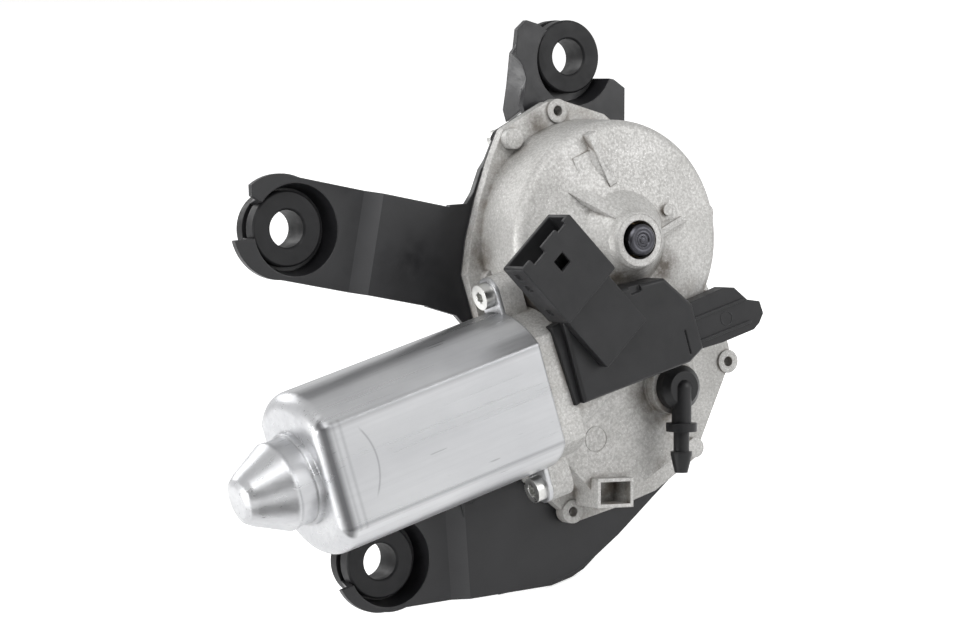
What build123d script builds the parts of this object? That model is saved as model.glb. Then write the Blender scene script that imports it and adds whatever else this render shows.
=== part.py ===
from build123d import *
# Rear wiper motor: gear motor, crank linkage, hollow output spindle, bracket and rubber mounts.
# Millimetres. X runs along the motor axis, with the motor can toward -X. Y runs along the output
# spindle, with the wiper arm's end toward +Y. Z is up. The origin is on the spindle axis, in the
# back face of the bracket, where the spindle tube comes out. A height is a distance toward -Y in
# front of the housing's back plane, which lies the gasket and the sheet in front of the origin.
from math import acos, asin, atan2, cos, degrees, pi, radians, sin, sqrt
import os

# Driving dimensions
wall = 2.7                     # die-cast wall
running_gap = 0.04             # radial clearance of a shaft in its bush
seat_gap = 0.05                # clearance of a piece that is seated in another
free_gap = 0.3                 # clearance between pieces that move past each other

axis_height = 20.5             # motor axis in front of the back plane
axis_level = 20.5              # motor axis above the spindle axis
wheel_x = -11.0                # worm wheel axle, from the spindle axis
wheel_z = 58.5

flange_x = -62.0               # joint face between can and housing
can_length = 88.0
can_radius = 28.5
can_half_depth = 22.3          # from the axis to the flat sides
can_wall = 1.6
can_corner = 5.5
can_flange = 1.5
motor_screw_reach = 35.0       # screw from the motor axis
motor_screw_radius = 2.0
motor_head_radius = 4.5
motor_head_height = 3.6
motor_screw_grip = 5.5         # screw depth in the housing
screw_drive_radius = 2.4
screw_drive_depth = 2.0

nose_radius = 16.0
nose_neck_radius = 15.0
nose_tip_radius = 8.5
nose_length = 23.8
nose_neck_length = 8.0
nose_base_length = 2.0

shaft_radius = 4.0
worm_pitch_radius = 5.9
thread_height = 0.9            # thread or tooth over the pitch line
thread_depth = 1.1             # and under it
worm_length = 34.0
worm_turns = 8
worm_bush_length = 8.0
ball_radius = 2.5
thrust_radius = 4.0
thrust_ball_inset = 7.0        # ball centre from the tunnel's end
core_radius = 17.0
core_length = 40.0
core_slots = 10
slot_width = 3.0
slot_depth = 9.0
coil_reach = 7.0
coil_inset = 1.2               # windings inside the core's outer radius
coil_taper = 4.0
coil_gap = 8.8                 # windings to commutator
commutator_radius = 9.5
commutator_length = 15.0
bearing_length = 7.0
bearing_radius = 7.5
retainer = 1.0
card_thickness = 1.6
brush_length = 6.5
brush_width = 4.0
holder_wall = 0.6
brush_spring_radius = 1.9
brush_spring_wire = 0.5
magnet_gap = 1.0
magnet_half_angle = 48.0

wheel_teeth = 56
wheel_width = 6.6
wheel_web = 3.6
wheel_rim = 5.0
wheel_hub_radius = 8.5
axle_radius = 5.4
axle_proud = 2.2
crank_radius = 16.0
crank_pin_radius = 3.5
lever_length = 22.0
lever_thickness = 3.5
lever_height = 5.0             # back face of the lever in front of the back plane
rod_thickness = 2.0
rod_width = 10.0
rod_eye_radius = 7.0
lever_pin_radius = 3.0
lever_boss_radius = 9.0

spindle_radius = 5.0
spindle_bore = 1.6
spindle_shoulder = 2.0         # plain spindle between its tube and its knurl
spindle_front = 21.5           # spindle's front end, as a height
thread_radius = 4.0
thread_length = 13.0
knurl_length = 7.0
tube_wall = 2.3
tube_shoulder = 0.4            # wider part of the tube inside the bracket
tube_reach = 30.0              # tube end behind the bracket
tube_flange_radius = 13.5
tube_flange = 1.8
bush_wall = 1.7
bush_length = 10.0
front_bush_length = 6.0
seal_depth = 3.0
circlip_groove = 0.6

dome_radius = 42.3
wheel_head_room = 0.8          # free height over the wheel
dome_rise = 2.4                # the face rises toward the boss
dome_corner = 4.0
dome_draft = 0.8
boss_radius = 10.0
boss_foot_radius = 17.0
boss_height = 39.5
boss_bore = 6.7
boss_edge = 0.8
boss_collar = 3.0               # straight part at the boss's front
boss_recess = 9.0
web_height = 14.5              # front of the lower chamber
flange_height = 4.0
tunnel_radius = 8.8
tunnel_tip_radius = 5.6
tunnel_cone_start = 21.0
tunnel_cone_length = 10.0
neck_meets_tunnel = -22.0      # where the brush housing's taper ends
block_length = 10.5
block_radius = 27.0
block_half_depth = 19.0
spindle_boss_radius = 9.5
spindle_boss_height = 20.0
ear_radius = 4.2
ear_hole = 1.8
lug_radius = 3.6
pocket_height = 15.0
pocket_depth = 11.0
pocket_rim = 1.3
pocket_centre = (-34.0, -27.6)
pocket_length = 12.4
pocket_width = 7.8
pocket_turn = -18.0
cover_screw_radius = 1.75

gasket_thickness = 0.8
plate = 2.5                    # bracket sheet
screw_head_radius = 3.4
screw_head_height = 2.4
arm_drop = 4.0                 # arm ends step back by this much
step_start = 25.0              # the step of an arm, from its cup's centre
step_run = 5.5
cup_drop = 8.6
cup_radius = 15.8
cup_floor_radius = 14.2
cup_wall = 1.7
cup_shift = 1.7                # cup's centre from the grommet's, toward the arm's root
grommet_seat_radius = 8.6
grommet_radius = 13.0
grommet_back_radius = 13.3
grommet_front = 5.2
grommet_back = 4.8
grommet_bore = 6.4
grommet_chamfer = 0.6
grommet_edge = 0.6
mount_left = (-115.9, 95.4)
mount_bottom = (-116.1, -25.1)
mount_top = (9.2, 119.9)

socket_turn = 28.0             # the connector is turned in its plane
socket_side = 26.0
socket_depth = 13.0
socket_front = 53.0
socket_wall = 1.7
socket_step_front = 48.0
socket_centre = (-49.0, 60.7)
step_side = 22.5
step_length = 24.0
latch_room = 9.0               # closed end of the socket, past its plug space
cover_front = 44.0
cover_back = 32.7
cover_wall = 1.8
terminal_count = 4
terminal_pitch = 4.6
terminal_width = 2.8
terminal_thickness = 0.8
terminal_length = 9.0

elbow_turn = 17.6              # the hose tube hangs this far from straight down
hub_radius = 8.0
hub_height = 6.0
hose_rise = 4.2                # hose tube's axis over the hub's back
tube_outer = 3.5
hose_flange = 12.4
hose_flange_thickness = 3.0
hose_neck = 2.8
nipple_start = 22.5
nipple_length = 7.5
nipple_radius = 3.8
nipple_tip_radius = 2.3
hose_bore = 1.2

# Places worked out from the driving dimensions
datum = gasket_thickness + plate
motor_axis = Axis((0, -axis_height - datum, axis_level), (1, 0, 0))
spindle_axis = Axis((0, 0, 0), (0, 1, 0))
wheel_axis = Axis((wheel_x, 0, wheel_z), (0, 1, 0))
can_end = flange_x - can_length
can_inner_radius = can_radius - can_wall
can_inner_depth = can_half_depth - can_wall
cavity_radius = dome_radius - dome_draft - wall - 0.4
chamber_height = web_height - wall
wheel_front = axis_height + wheel_width / 2
wheel_back = axis_height - wheel_width / 2
cavity_height = wheel_front + wheel_head_room
dome_height = cavity_height + wall
tunnel_end = tunnel_cone_start + tunnel_cone_length
worm_bore_end = tunnel_cone_start + 0.6
lever_front = lever_height + lever_thickness
rod_back = lever_front + free_gap
rod_front = rod_back + rod_thickness
worm_radius = worm_pitch_radius + thread_height
worm_root_radius = worm_pitch_radius - thread_depth
wheel_pitch_radius = wheel_z - axis_level - worm_pitch_radius
wheel_radius = wheel_pitch_radius + thread_height
wheel_root_radius = wheel_pitch_radius - thread_depth
worm_lead = 2 * pi * wheel_pitch_radius / wheel_teeth
worm_bore = worm_radius + 0.4
bush_radius = spindle_radius + bush_wall
tube_radius = bush_radius + tube_wall
block_end = flange_x + block_length
plate_front = -gasket_thickness
plate_back = plate_front - plate
tube_front = plate_front + tube_flange

# The crank linkage, drawn at its folded dead centre, where the wiper parks
link_distance = sqrt(wheel_x ** 2 + wheel_z ** 2)
rod_length = sqrt(crank_radius ** 2 + link_distance ** 2 - lever_length ** 2)
folded = rod_length - crank_radius
lever_from_line = degrees(acos(
    (link_distance ** 2 + lever_length ** 2 - folded ** 2) / (2 * link_distance * lever_length)))
swing = 2 * degrees(asin(crank_radius / lever_length))
lever_angle = degrees(atan2(wheel_z, wheel_x)) + lever_from_line
lever_eye = (lever_length * cos(radians(lever_angle)), lever_length * sin(radians(lever_angle)))
rod_angle = degrees(atan2(wheel_z - lever_eye[1], wheel_x - lever_eye[0]))
rod_eye = (lever_eye[0] + rod_length * cos(radians(rod_angle)),
           lever_eye[1] + rod_length * sin(radians(rod_angle)))

ears = [(-8.6, 104.8), (34.4, -2.9), (-44.5, -32.1)]
cover_screw_places = [(-30.0, 101.0), (38.8, 52.4), (9.8, -27.3), (-54.0, -14.0), (-52.5, 57.0)]


def layer(height):
    """The plane at a height; its outline is drawn in x and z."""
    return Plane.XZ.offset(height + datum)


def turned(centre, pairs):
    """A profile of (radius, height) pairs, to revolve about a Y axis through the centre."""
    with BuildSketch(Plane.XY.offset(centre[1])) as profile:
        with BuildLine():
            Polyline([(centre[0] + radius, -height - datum) for radius, height in pairs], close=True)
        make_face()
    return profile.sketch


def spun(pairs):
    """A profile of (x, radius) pairs, to revolve about the motor axis."""
    with BuildSketch(layer(axis_height)) as profile:
        with BuildLine():
            Polyline([(x, axis_level + radius) for x, radius in pairs], close=True)
        make_face()
    return profile.sketch


def can_section(x, radius, half_depth):
    """Round top and bottom, flat front and back, centred on the motor axis."""
    with BuildSketch(Plane.YZ.offset(x)) as section:
        with Locations((-axis_height - datum, axis_level)):
            Circle(radius)
            Rectangle(2 * half_depth, 2 * radius, mode=Mode.INTERSECT)
    return section.sketch


def outline(height, points):
    """A closed straight-sided outline at a height."""
    with BuildSketch(layer(height)) as shape:
        with BuildLine():
            Polyline(points, close=True)
        make_face()
    return shape.sketch


def disc(centre, height, radius):
    with BuildSketch(layer(height)) as shape:
        with Locations(centre):
            Circle(radius)
    return shape.sketch


def bar(start, end, height, width):
    """A round-ended bar between two points at a height."""
    with BuildSketch(layer(height)) as shape:
        with Locations(start, end):
            Circle(width / 2)
        make_hull()
    return shape.sketch


def finish(builder, label):
    """Name a piece and write it."""
    builder.part.label = label
    export_step(builder.part, f"parts/{label}.step")


os.makedirs("parts", exist_ok=True)

# Die-cast gear housing
flange_points = [
    (-31.5, 105.0), (-12.0, 109.0), (-5.5, 107.8), (10.0, 98.0), (30.0, 70.0), (44.0, 57.5),
    (44.0, 48.5), (33.0, 36.0), (36.8, 2.6), (36.0, -3.0), (13.6, -28.0), (11.6, -31.6),
    (-9.0, -37.2), (-24.3, -37.3), (-44.0, -36.2), (-58.5, -16.0), (-60.0, 0.0), (-60.4, 61.0),
    (-55.0, 72.5), (-47.4, 84.7), (-39.2, 96.0),
]
chamber_points = [
    (-45.0, 60.0), (-50.0, 30.0), (-49.0, -10.0), (-40.0, -27.0), (-24.0, -31.0), (-4.0, -26.0),
    (11.0, -9.0), (16.0, 14.0), (26.0, 34.0), (20.0, 50.0),
]
chamber_inner = [
    (-41.5, 60.0), (-44.0, 30.0), (-43.0, -8.0), (-36.0, -21.0), (-24.0, -24.6), (-6.0, -22.5),
    (8.0, -7.0), (12.5, 14.0), (20.0, 34.0), (16.0, 50.0),
]
dome_ribs = [
    ((-12.5, 66.0), (-26.3, 82.3), 4.0, 0.2),
    ((-9.5, 78.0), (-13.5, 97.5), 0.6, 3.4),
    ((-1.0, 56.6), (17.8, 57.4), 6.0, 0.2),
]
dome_face_radius = dome_radius - dome_draft - dome_corner
with BuildPart() as gear_housing:
    # Base flange with its ears and screw lugs
    extrude(outline(0, flange_points), amount=flange_height)
    fillet(gear_housing.edges().filter_by(Axis.Y), radius=2.4)
    for place in ears:
        extrude(disc(place, 0, ear_radius), amount=flange_height + 0.8)
    for place in cover_screw_places:
        extrude(disc(place, 0, lug_radius), amount=flange_height + 3.5)
    # Lower chamber over the lever and rod
    extrude(outline(0, chamber_points), amount=web_height, taper=2)
    # Dome over the worm wheel, and the boss of its axle
    with BuildSketch(Plane.XY.offset(wheel_z)) as dome_profile:
        with BuildLine():
            rim = Polyline(
                (wheel_x, -datum), (wheel_x + dome_radius, -datum),
                (wheel_x + dome_radius - dome_draft, -(dome_height - dome_corner + datum)))
            corner = TangentArc(
                rim @ 1, (wheel_x + dome_face_radius, -dome_height - datum), tangent=rim % 1)
            Polyline(
                corner @ 1, (wheel_x + boss_foot_radius, -(dome_height + dome_rise + datum)),
                (wheel_x + boss_radius + boss_edge, -(boss_height - boss_collar + datum)),
                (wheel_x + boss_radius, -(boss_height - boss_edge + datum)),
                (wheel_x + boss_radius - boss_edge, -boss_height - datum),
                (wheel_x, -boss_height - datum), (wheel_x, -datum))
        make_face()
    revolve(axis=wheel_axis)
    # Block behind the motor flange, with its screw lugs
    block_section = can_section(flange_x, block_radius, block_half_depth)
    extrude(block_section, amount=block_length)
    with BuildSketch(Plane.YZ.offset(flange_x)) as lugs:
        with Locations((-axis_height - datum, axis_level + motor_screw_reach),
                       (-axis_height - datum, axis_level - motor_screw_reach)):
            Circle(motor_head_radius + 1.3)
        make_hull()
        with Locations((-axis_height - datum, axis_level)):
            Rectangle(100, 2 * block_radius - 10, mode=Mode.SUBTRACT)
    extrude(amount=block_length - 2)
    # Brush housing narrowing into the worm tunnel
    with BuildSketch(Plane.YZ.offset(block_end - 1)) as neck_start:
        with Locations((-axis_height / 2 - 6 - datum, axis_level)):
            RectangleRounded(axis_height + 12, 2 * block_radius - 12, 3)
    with BuildSketch(Plane.YZ.offset(neck_meets_tunnel)) as neck_taper:
        with Locations((-axis_height / 2 - tunnel_radius / 2 - datum, axis_level)):
            RectangleRounded(axis_height + tunnel_radius, 2 * tunnel_radius, 3)
    loft()
    with BuildSketch(Plane.YZ.offset(block_end - 1)) as tunnel_section:
        with Locations((-axis_height - datum, axis_level)):
            Circle(tunnel_radius)
    extrude(amount=tunnel_cone_start - block_end + 1)
    revolve(spun([(tunnel_cone_start, 0), (tunnel_cone_start, tunnel_radius),
                  (tunnel_end, tunnel_tip_radius), (tunnel_end, 0)]), axis=motor_axis)
    with BuildSketch(Plane.YZ.offset(block_end)) as tunnel_foot:
        with Locations((-axis_height / 2 - datum, axis_level)):
            Rectangle(axis_height, 2 * tunnel_radius - 3)
    extrude(amount=tunnel_cone_start + 3 - block_end)
    # Front boss of the spindle
    extrude(disc((0, 0), 0, spindle_boss_radius + 0.6), amount=web_height + 1.5)
    extrude(disc((0, 0), 0, spindle_boss_radius), amount=spindle_boss_height)
    # Small cast features: locating pin, wedge ribs, ejector ring and the open pocket
    extrude(disc((8.9, 63.0), dome_height, 2.0), amount=3.6)
    for start, end, rise_start, rise_end in dome_ribs:
        run = sqrt((end[0] - start[0]) ** 2 + (end[1] - start[1]) ** 2)
        along = Vector(end[0] - start[0], 0, end[1] - start[1]).normalized()
        rib_plane = Plane(origin=(start[0], -(dome_height - 4 + datum), start[1]),
                          x_dir=along, z_dir=along.cross(Vector(0, -1, 0)))
        with BuildSketch(rib_plane):
            with BuildLine():
                Polyline((0, 0), (run, 0), (run, 4 + rise_end), (0, 6 + rise_start), close=True)
            make_face()
        extrude(amount=1.6, both=True)
    with BuildSketch(layer(flange_height)) as pocket_block:
        with Locations(pocket_centre):
            Rectangle(pocket_length + 2 * pocket_rim, pocket_width + 2 * pocket_rim, rotation=pocket_turn)
    extrude(amount=pocket_height)
    with BuildSketch(layer(flange_height + pocket_height)) as pocket:
        with Locations(pocket_centre):
            Rectangle(pocket_length, pocket_width, rotation=pocket_turn)
    extrude(amount=-pocket_depth, mode=Mode.SUBTRACT)
    # Wheel cavity, lower chamber, worm bore and brush space
    revolve(turned((wheel_x, wheel_z), [
        (0, 0), (cavity_radius, 0), (cavity_radius - 0.8, cavity_height - 2.5),
        (cavity_radius - 3.2, cavity_height), (0, cavity_height)]),
        axis=wheel_axis, mode=Mode.SUBTRACT)
    extrude(outline(0, chamber_inner), amount=chamber_height, mode=Mode.SUBTRACT)
    revolve(spun([(block_end - 4, 0), (worm_bore_end, 0), (worm_bore_end, worm_bore),
                  (block_end - 4, worm_bore)]), axis=motor_axis, mode=Mode.SUBTRACT)
    brush_space = can_section(flange_x, block_radius - wall, block_half_depth - wall)
    extrude(brush_space, amount=block_length - wall, mode=Mode.SUBTRACT)
    # Bores for the bushes, screws and thrust screw, and the seat of the tube's flange
    tube_seat = disc((0, 0), 0, tube_flange_radius + seat_gap)
    extrude(tube_seat, amount=tube_front + seat_gap, mode=Mode.SUBTRACT)
    extrude(disc((wheel_x, wheel_z), 0, boss_bore), amount=boss_height, mode=Mode.SUBTRACT)
    extrude(disc((0, 0), 0, bush_radius), amount=spindle_boss_height, mode=Mode.SUBTRACT)
    for place in ears:
        extrude(disc(place, 0, ear_hole), amount=2 * flange_height, mode=Mode.SUBTRACT)
    for place in cover_screw_places:
        screw_hole = disc(place, 0, cover_screw_radius + seat_gap)
        extrude(screw_hole, amount=flange_height + 1.5, mode=Mode.SUBTRACT)
    for side in (1, -1):
        screw_line = axis_level + side * motor_screw_reach
        with BuildSketch(Plane.YZ.offset(flange_x)):
            with Locations((-axis_height - datum, screw_line)):
                Circle(motor_screw_radius + seat_gap)
        extrude(amount=motor_screw_grip + 1, mode=Mode.SUBTRACT)
    revolve(spun([(worm_bore_end - 1, 0), (tunnel_end + 1, 0), (tunnel_end + 1, thrust_radius + seat_gap),
                  (worm_bore_end - 1, thrust_radius + seat_gap)]), axis=motor_axis, mode=Mode.SUBTRACT)
finish(gear_housing, "gear_housing")

# Gasket between housing and bracket
with BuildPart() as cover_gasket:
    extrude(outline(0, flange_points), amount=-gasket_thickness)
    windows = [disc((wheel_x, wheel_z), 0, cavity_radius), outline(0, chamber_inner),
               disc((0, 0), 0, tube_flange_radius + seat_gap)]
    windows += [disc(place, 0, ear_hole) for place in ears]
    windows += [disc(place, 0, cover_screw_radius + seat_gap) for place in cover_screw_places]
    for window in windows:
        extrude(window, amount=-gasket_thickness, mode=Mode.SUBTRACT)
finish(cover_gasket, "cover_gasket")

# Bracket: a centre plate behind the housing and three stepped arms with open cups
arm_face = plate_front - arm_drop
cup_floor = arm_face - cup_drop
plate_points = [
    (-50.5, 83.8), (-46.8, 86.8), (-41.5, 93.5), (-38.2, 96.0), (-30.4, 104.6), (-16.0, 106.6), (-3.5, 106.0),
    (-3.5, 86.0), (23.0, 80.0), (46.5, 61.0), (46.5, 47.0), (36.5, 34.0), (38.5, 3.0),
    (38.0, -4.5), (15.4, -29.5), (12.9, -33.0), (1.7, -36.4), (-25.7, -48.3), (-38.7, -52.8),
    (-46.2, -54.5), (-58.5, -54.6), (-79.0, -51.0), (-79.0, -16.0), (-68.0, -12.0),
    (-62.0, -4.0), (-62.0, 40.0), (-66.0, 48.0), (-76.0, 54.5), (-57.0, 85.4),
]


def shifted(centre, turn, distance):
    """The point at a distance from a cup's centre, along its arm."""
    return (centre[0] + distance * cos(radians(turn)), centre[1] + distance * sin(radians(turn)))


def y_axis(centre):
    return Axis((centre[0], 0, centre[1]), (0, 1, 0))


def stepped_arm(centre, turn, half_width, tip_radius, tip_shift, root, step):
    """A round-ended arm of sheet, stepped back toward its cup, as one solid."""
    along = Vector(cos(radians(turn)), 0, sin(radians(turn)))
    side_plane = Plane(
        origin=(centre[0], -datum, centre[1]), x_dir=along, z_dir=along.cross(Vector(0, -1, 0)))
    slope = plate * 0.4
    tip = -tip_shift - tip_radius
    with BuildPart() as arm:
        with BuildSketch(side_plane):
            with BuildLine():
                Polyline(
                    (tip, arm_face), (step, arm_face), (step + step_run, plate_front),
                    (root, plate_front), (root, plate_back), (step + step_run + slope, plate_back),
                    (step + slope, arm_face - plate), (tip, arm_face - plate), close=True)
            make_face()
        extrude(amount=tip_radius + 1, both=True)
        with BuildSketch(layer(plate_front)):
            with Locations(shifted(centre, turn, -tip_shift)):
                Circle(tip_radius)
            with Locations(Location(centre, turn)):
                with Locations(((root - tip_shift) / 2, 0)):
                    Rectangle(root + tip_shift, 2 * half_width)
        extrude(amount=-4 * arm_drop, mode=Mode.INTERSECT)
    return arm.part


# Of each arm: cup centre, turn, half width, tip radius, tip shift outward, root and step
arms = {
    "left": (mount_left, -27.5, 17.6, 18.0, 4.0, 64.0, step_start),
    "bottom": (mount_bottom, -13.0, 16.7, 17.2, 1.9, 64.0, step_start),
    "top": (mount_top, -86.0, 16.5, 18.0, 0.0, 46.0, 31.0),
}
# Mouths of the open cups, from the cup's centre
mouths = {
    "left": [(-5, 9), (-10.9, 15), (-8.5, 24), (-28, 24), (-28, 3.4), (-20.9, 2.6), (-13, 0.8), (-8, -1)],
    "bottom": [(-3, 9), (-9, 24), (-28, 24), (-28, -3.3), (-16, -3.3), (-8, -3)],
    "top": [(-10.7, 14.9), (-4.5, 7.5), (7.5, -4.5), (16.5, -5.8), (30, -5.8), (30, 30), (-10.7, 30)],
}
top_arm_side = [
    (-16.2, 104.0), (-16.2, 109.3), (-11.2, 119.7), (-13.7, 127.5), (-11.8, 131.6), (-10.1, 135.4),
    (-5.8, 137.4), (-1.5, 134.8), (-1.5, 104.0),
]
top_arm_relief = [(26.7, 103.1), (22.8, 90.8), (21.0, 84.0), (34.0, 84.0), (34.0, 103.1)]
top_arm_notch = [(26.7, 103.1), (20.6, 110.4), (20.4, 115.3), (34.0, 115.3), (34.0, 103.1)]
flange_slant = 6.2             # the top arm's side flange leans out by this much
flange_sheet = 2.6
with BuildPart() as top_side_flange:
    with BuildSketch(Plane.XY.offset(mount_top[1] - 17)):
        with BuildLine():
            Polyline((-12.0, 1.5), (-12.0 - flange_slant, 12.5), (-12.0 - flange_slant + flange_sheet, 12.5),
                     (-12.0 + flange_sheet, 1.5), close=True)
        make_face()
    extrude(amount=30)
    with BuildSketch(Plane.YZ.offset(-25)):
        with BuildLine():
            Polyline((1.5, 109.5), (12.5, 104.0), (12.5, 108.5), (9.0, 117.0), (5.0, 128.0), (1.5, 131.0),
                     close=True)
        make_face()
    extrude(amount=25, mode=Mode.INTERSECT)
with BuildPart() as bracket:
    extrude(outline(plate_front, plate_points), amount=-plate)
    for measures in arms.values():
        add(stepped_arm(*measures))
    # Side flange of the top arm, and the step beside its root
    add(top_side_flange.part)
    extrude(outline(arm_face, top_arm_side), amount=-plate)
    extrude(outline(plate_front, [(-6.4, 80.0), (-3.5, 80.0), (-3.5, 106.0), (-6.4, 106.0)]),
            amount=-arm_drop - plate)
    # Right edge of the top arm, drawn in beside its cup
    extrude(outline(plate_front, top_arm_relief), amount=-arm_drop - plate, mode=Mode.SUBTRACT)
    extrude(outline(arm_face, top_arm_notch), amount=-plate, mode=Mode.SUBTRACT)
    # Cups with their mouths
    for name, (centre, turn, *others) in arms.items():
        cup = shifted(centre, turn, cup_shift)
        revolve(turned(cup, [
            (0, arm_face + 1), (cup_radius, arm_face + 1), (cup_radius, arm_face),
            (cup_radius, cup_floor - plate), (0, cup_floor - plate)]),
            axis=y_axis(cup), mode=Mode.SUBTRACT)
        revolve(turned(cup, [
            (cup_radius - 0.01, arm_face), (cup_floor_radius, cup_floor), (0, cup_floor),
            (0, cup_floor - plate), (cup_floor_radius + 0.7, cup_floor - plate),
            (cup_radius + cup_wall, arm_face - plate), (cup_radius + cup_wall, arm_face)]),
            axis=y_axis(cup))
        extrude(disc(centre, arm_face, grommet_seat_radius + seat_gap),
                amount=-cup_drop - plate, mode=Mode.SUBTRACT)
        mouth = outline(arm_face + 1, [(centre[0] + x, centre[1] + z) for x, z in mouths[name]])
        extrude(mouth, amount=-(cup_drop + plate + 2), mode=Mode.SUBTRACT)
    # Holes
    tube_hole = disc((0, 0), plate_front, tube_radius + tube_shoulder + seat_gap)
    extrude(tube_hole, amount=-plate, mode=Mode.SUBTRACT)
    for place in ears:
        extrude(disc(place, plate_front, ear_hole), amount=-arm_drop - plate, mode=Mode.SUBTRACT)
    for place in cover_screw_places:
        screw_hole = disc(place, plate_front, cover_screw_radius + seat_gap)
        extrude(screw_hole, amount=-plate, mode=Mode.SUBTRACT)
finish(bracket, "bracket")

# Screws that hold the bracket to the housing, from behind
with BuildPart() as cover_screws:
    for place in cover_screw_places:
        head = disc(place, plate_back, screw_head_radius)
        extrude(head, amount=-screw_head_height)
        extrude(disc(place, plate_back, cover_screw_radius), amount=flange_height - plate_back)
finish(cover_screws, "cover_screws")

# Rubber grommets pushed sideways into the cups
grommet_top = cup_floor + grommet_front
grommet_end = cup_floor - plate - grommet_back
for name, (centre, *others) in arms.items():
    with BuildPart() as grommet:
        revolve(turned(centre, [
            (grommet_bore + grommet_chamfer, grommet_top), (grommet_radius - grommet_edge, grommet_top),
            (grommet_radius, grommet_top - grommet_edge), (grommet_radius, cup_floor + seat_gap),
            (grommet_seat_radius, cup_floor + seat_gap),
            (grommet_seat_radius, cup_floor - plate - seat_gap),
            (grommet_back_radius, cup_floor - plate - seat_gap),
            (grommet_back_radius, grommet_end + grommet_edge),
            (grommet_back_radius - grommet_edge, grommet_end),
            (grommet_bore + grommet_chamfer, grommet_end),
            (grommet_bore, grommet_end + grommet_chamfer),
            (grommet_bore, grommet_top - grommet_chamfer)]), axis=y_axis(centre))
    finish(grommet, f"grommet_{name}")

# Motor can with its screw flange and nose
can_foot = flange_x - can_flange
neck_end = can_end - nose_neck_length
tip_x = can_end - nose_length
with BuildPart() as can_inside:
    extrude(can_section(flange_x, can_inner_radius, can_inner_depth), amount=-can_length + can_wall)
    fillet(can_inside.faces().sort_by(Axis.X)[0].edges(), radius=can_corner - can_wall)
with BuildPart() as motor_can:
    extrude(can_section(flange_x, can_radius, can_half_depth), amount=-can_length)
    end_edges = motor_can.faces().sort_by(Axis.X)[0].edges()
    fillet(end_edges, radius=can_corner)
    with BuildSketch(Plane.YZ.offset(flange_x)):
        with Locations((-axis_height - datum, axis_level)):
            with Locations((0, motor_screw_reach), (0, -motor_screw_reach)):
                Circle(motor_head_radius + 1.3)
            make_hull()
    extrude(amount=-can_flange)
    revolve(spun([(can_end + 1, 0), (can_end + 1, nose_radius), (can_end - nose_base_length, nose_radius),
                  (can_end - nose_base_length, nose_neck_radius), (neck_end, nose_neck_radius),
                  (neck_end, nose_neck_radius + 0.3), (neck_end - 1.2, nose_neck_radius + 0.3),
                  (tip_x + 3.0, nose_tip_radius + 0.8), (tip_x + 0.8, nose_tip_radius - 0.8),
                  (tip_x, nose_tip_radius - 3.0), (tip_x, 0)]), axis=motor_axis)
    add(can_inside.part, mode=Mode.SUBTRACT)
    nose_inner = nose_neck_radius - can_wall
    revolve(spun([(can_end + can_wall, 0), (can_end + can_wall, nose_inner), (neck_end, nose_inner),
                  (tip_x + can_wall + 3.0, nose_tip_radius - can_wall), (tip_x + can_wall, 3.0),
                  (tip_x + can_wall, 0)]), axis=motor_axis, mode=Mode.SUBTRACT)
    for side in (1, -1):
        with BuildSketch(Plane.YZ.offset(flange_x)):
            with Locations((-axis_height - datum, axis_level + side * motor_screw_reach)):
                Circle(motor_screw_radius + seat_gap)
        extrude(amount=-can_flange, mode=Mode.SUBTRACT)
finish(motor_can, "motor_can")

with BuildPart() as motor_screws:
    for side in (1, -1):
        screw_line = (-axis_height - datum, axis_level + side * motor_screw_reach)
        with BuildSketch(Plane.YZ.offset(can_foot)):
            with Locations(screw_line):
                Circle(motor_head_radius)
        extrude(amount=-motor_head_height)
        with BuildSketch(Plane.YZ.offset(can_foot)):
            with Locations(screw_line):
                Circle(motor_screw_radius)
        extrude(amount=can_flange + motor_screw_grip)
        with BuildSketch(Plane.YZ.offset(can_foot - motor_head_height)):
            with Locations(screw_line):
                RegularPolygon(screw_drive_radius, 6)
        extrude(amount=screw_drive_depth, mode=Mode.SUBTRACT)
finish(motor_screws, "motor_screws")

# Armature: shaft with rolled worm, laminated core, windings and commutator
shaft_start = tip_x + can_wall + 3.4
ball_x = tunnel_end - thrust_ball_inset
shaft_end = ball_x - ball_radius - 0.1
worm_start = wheel_x - worm_length / 2
thread_half_root = worm_lead * 0.26
thread_half_tip = worm_lead * 0.15
with BuildPart() as armature_shaft:
    revolve(spun([(shaft_start, 0), (shaft_start, shaft_radius - 0.5), (shaft_start + 0.5, shaft_radius),
                  (worm_start - 3, shaft_radius), (worm_start, worm_root_radius),
                  (worm_start + worm_length, worm_root_radius), (worm_start + worm_length + 3, shaft_radius),
                  (shaft_end - 0.5, shaft_radius), (shaft_end, shaft_radius - 0.5), (shaft_end, 0)]),
            axis=motor_axis)
with BuildPart() as thread:
    with BuildLine() as thread_path:
        Helix(pitch=worm_lead, height=worm_turns * worm_lead, radius=worm_root_radius,
              center=(wheel_x - worm_turns * worm_lead / 2, -axis_height - datum, axis_level),
              direction=(1, 0, 0))
    with BuildSketch(Plane(origin=thread_path.line @ 0, x_dir=(1, 0, 0), z_dir=thread_path.line % 0)):
        with BuildLine():
            Polyline((-thread_half_root, -0.5), (thread_half_root, -0.5),
                     (thread_half_tip, worm_radius - worm_root_radius),
                     (-thread_half_tip, worm_radius - worm_root_radius), close=True)
        make_face()
    sweep(path=thread_path.line, is_frenet=True)
with armature_shaft:
    add(thread.part)
finish(armature_shaft, "armature_shaft")

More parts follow.
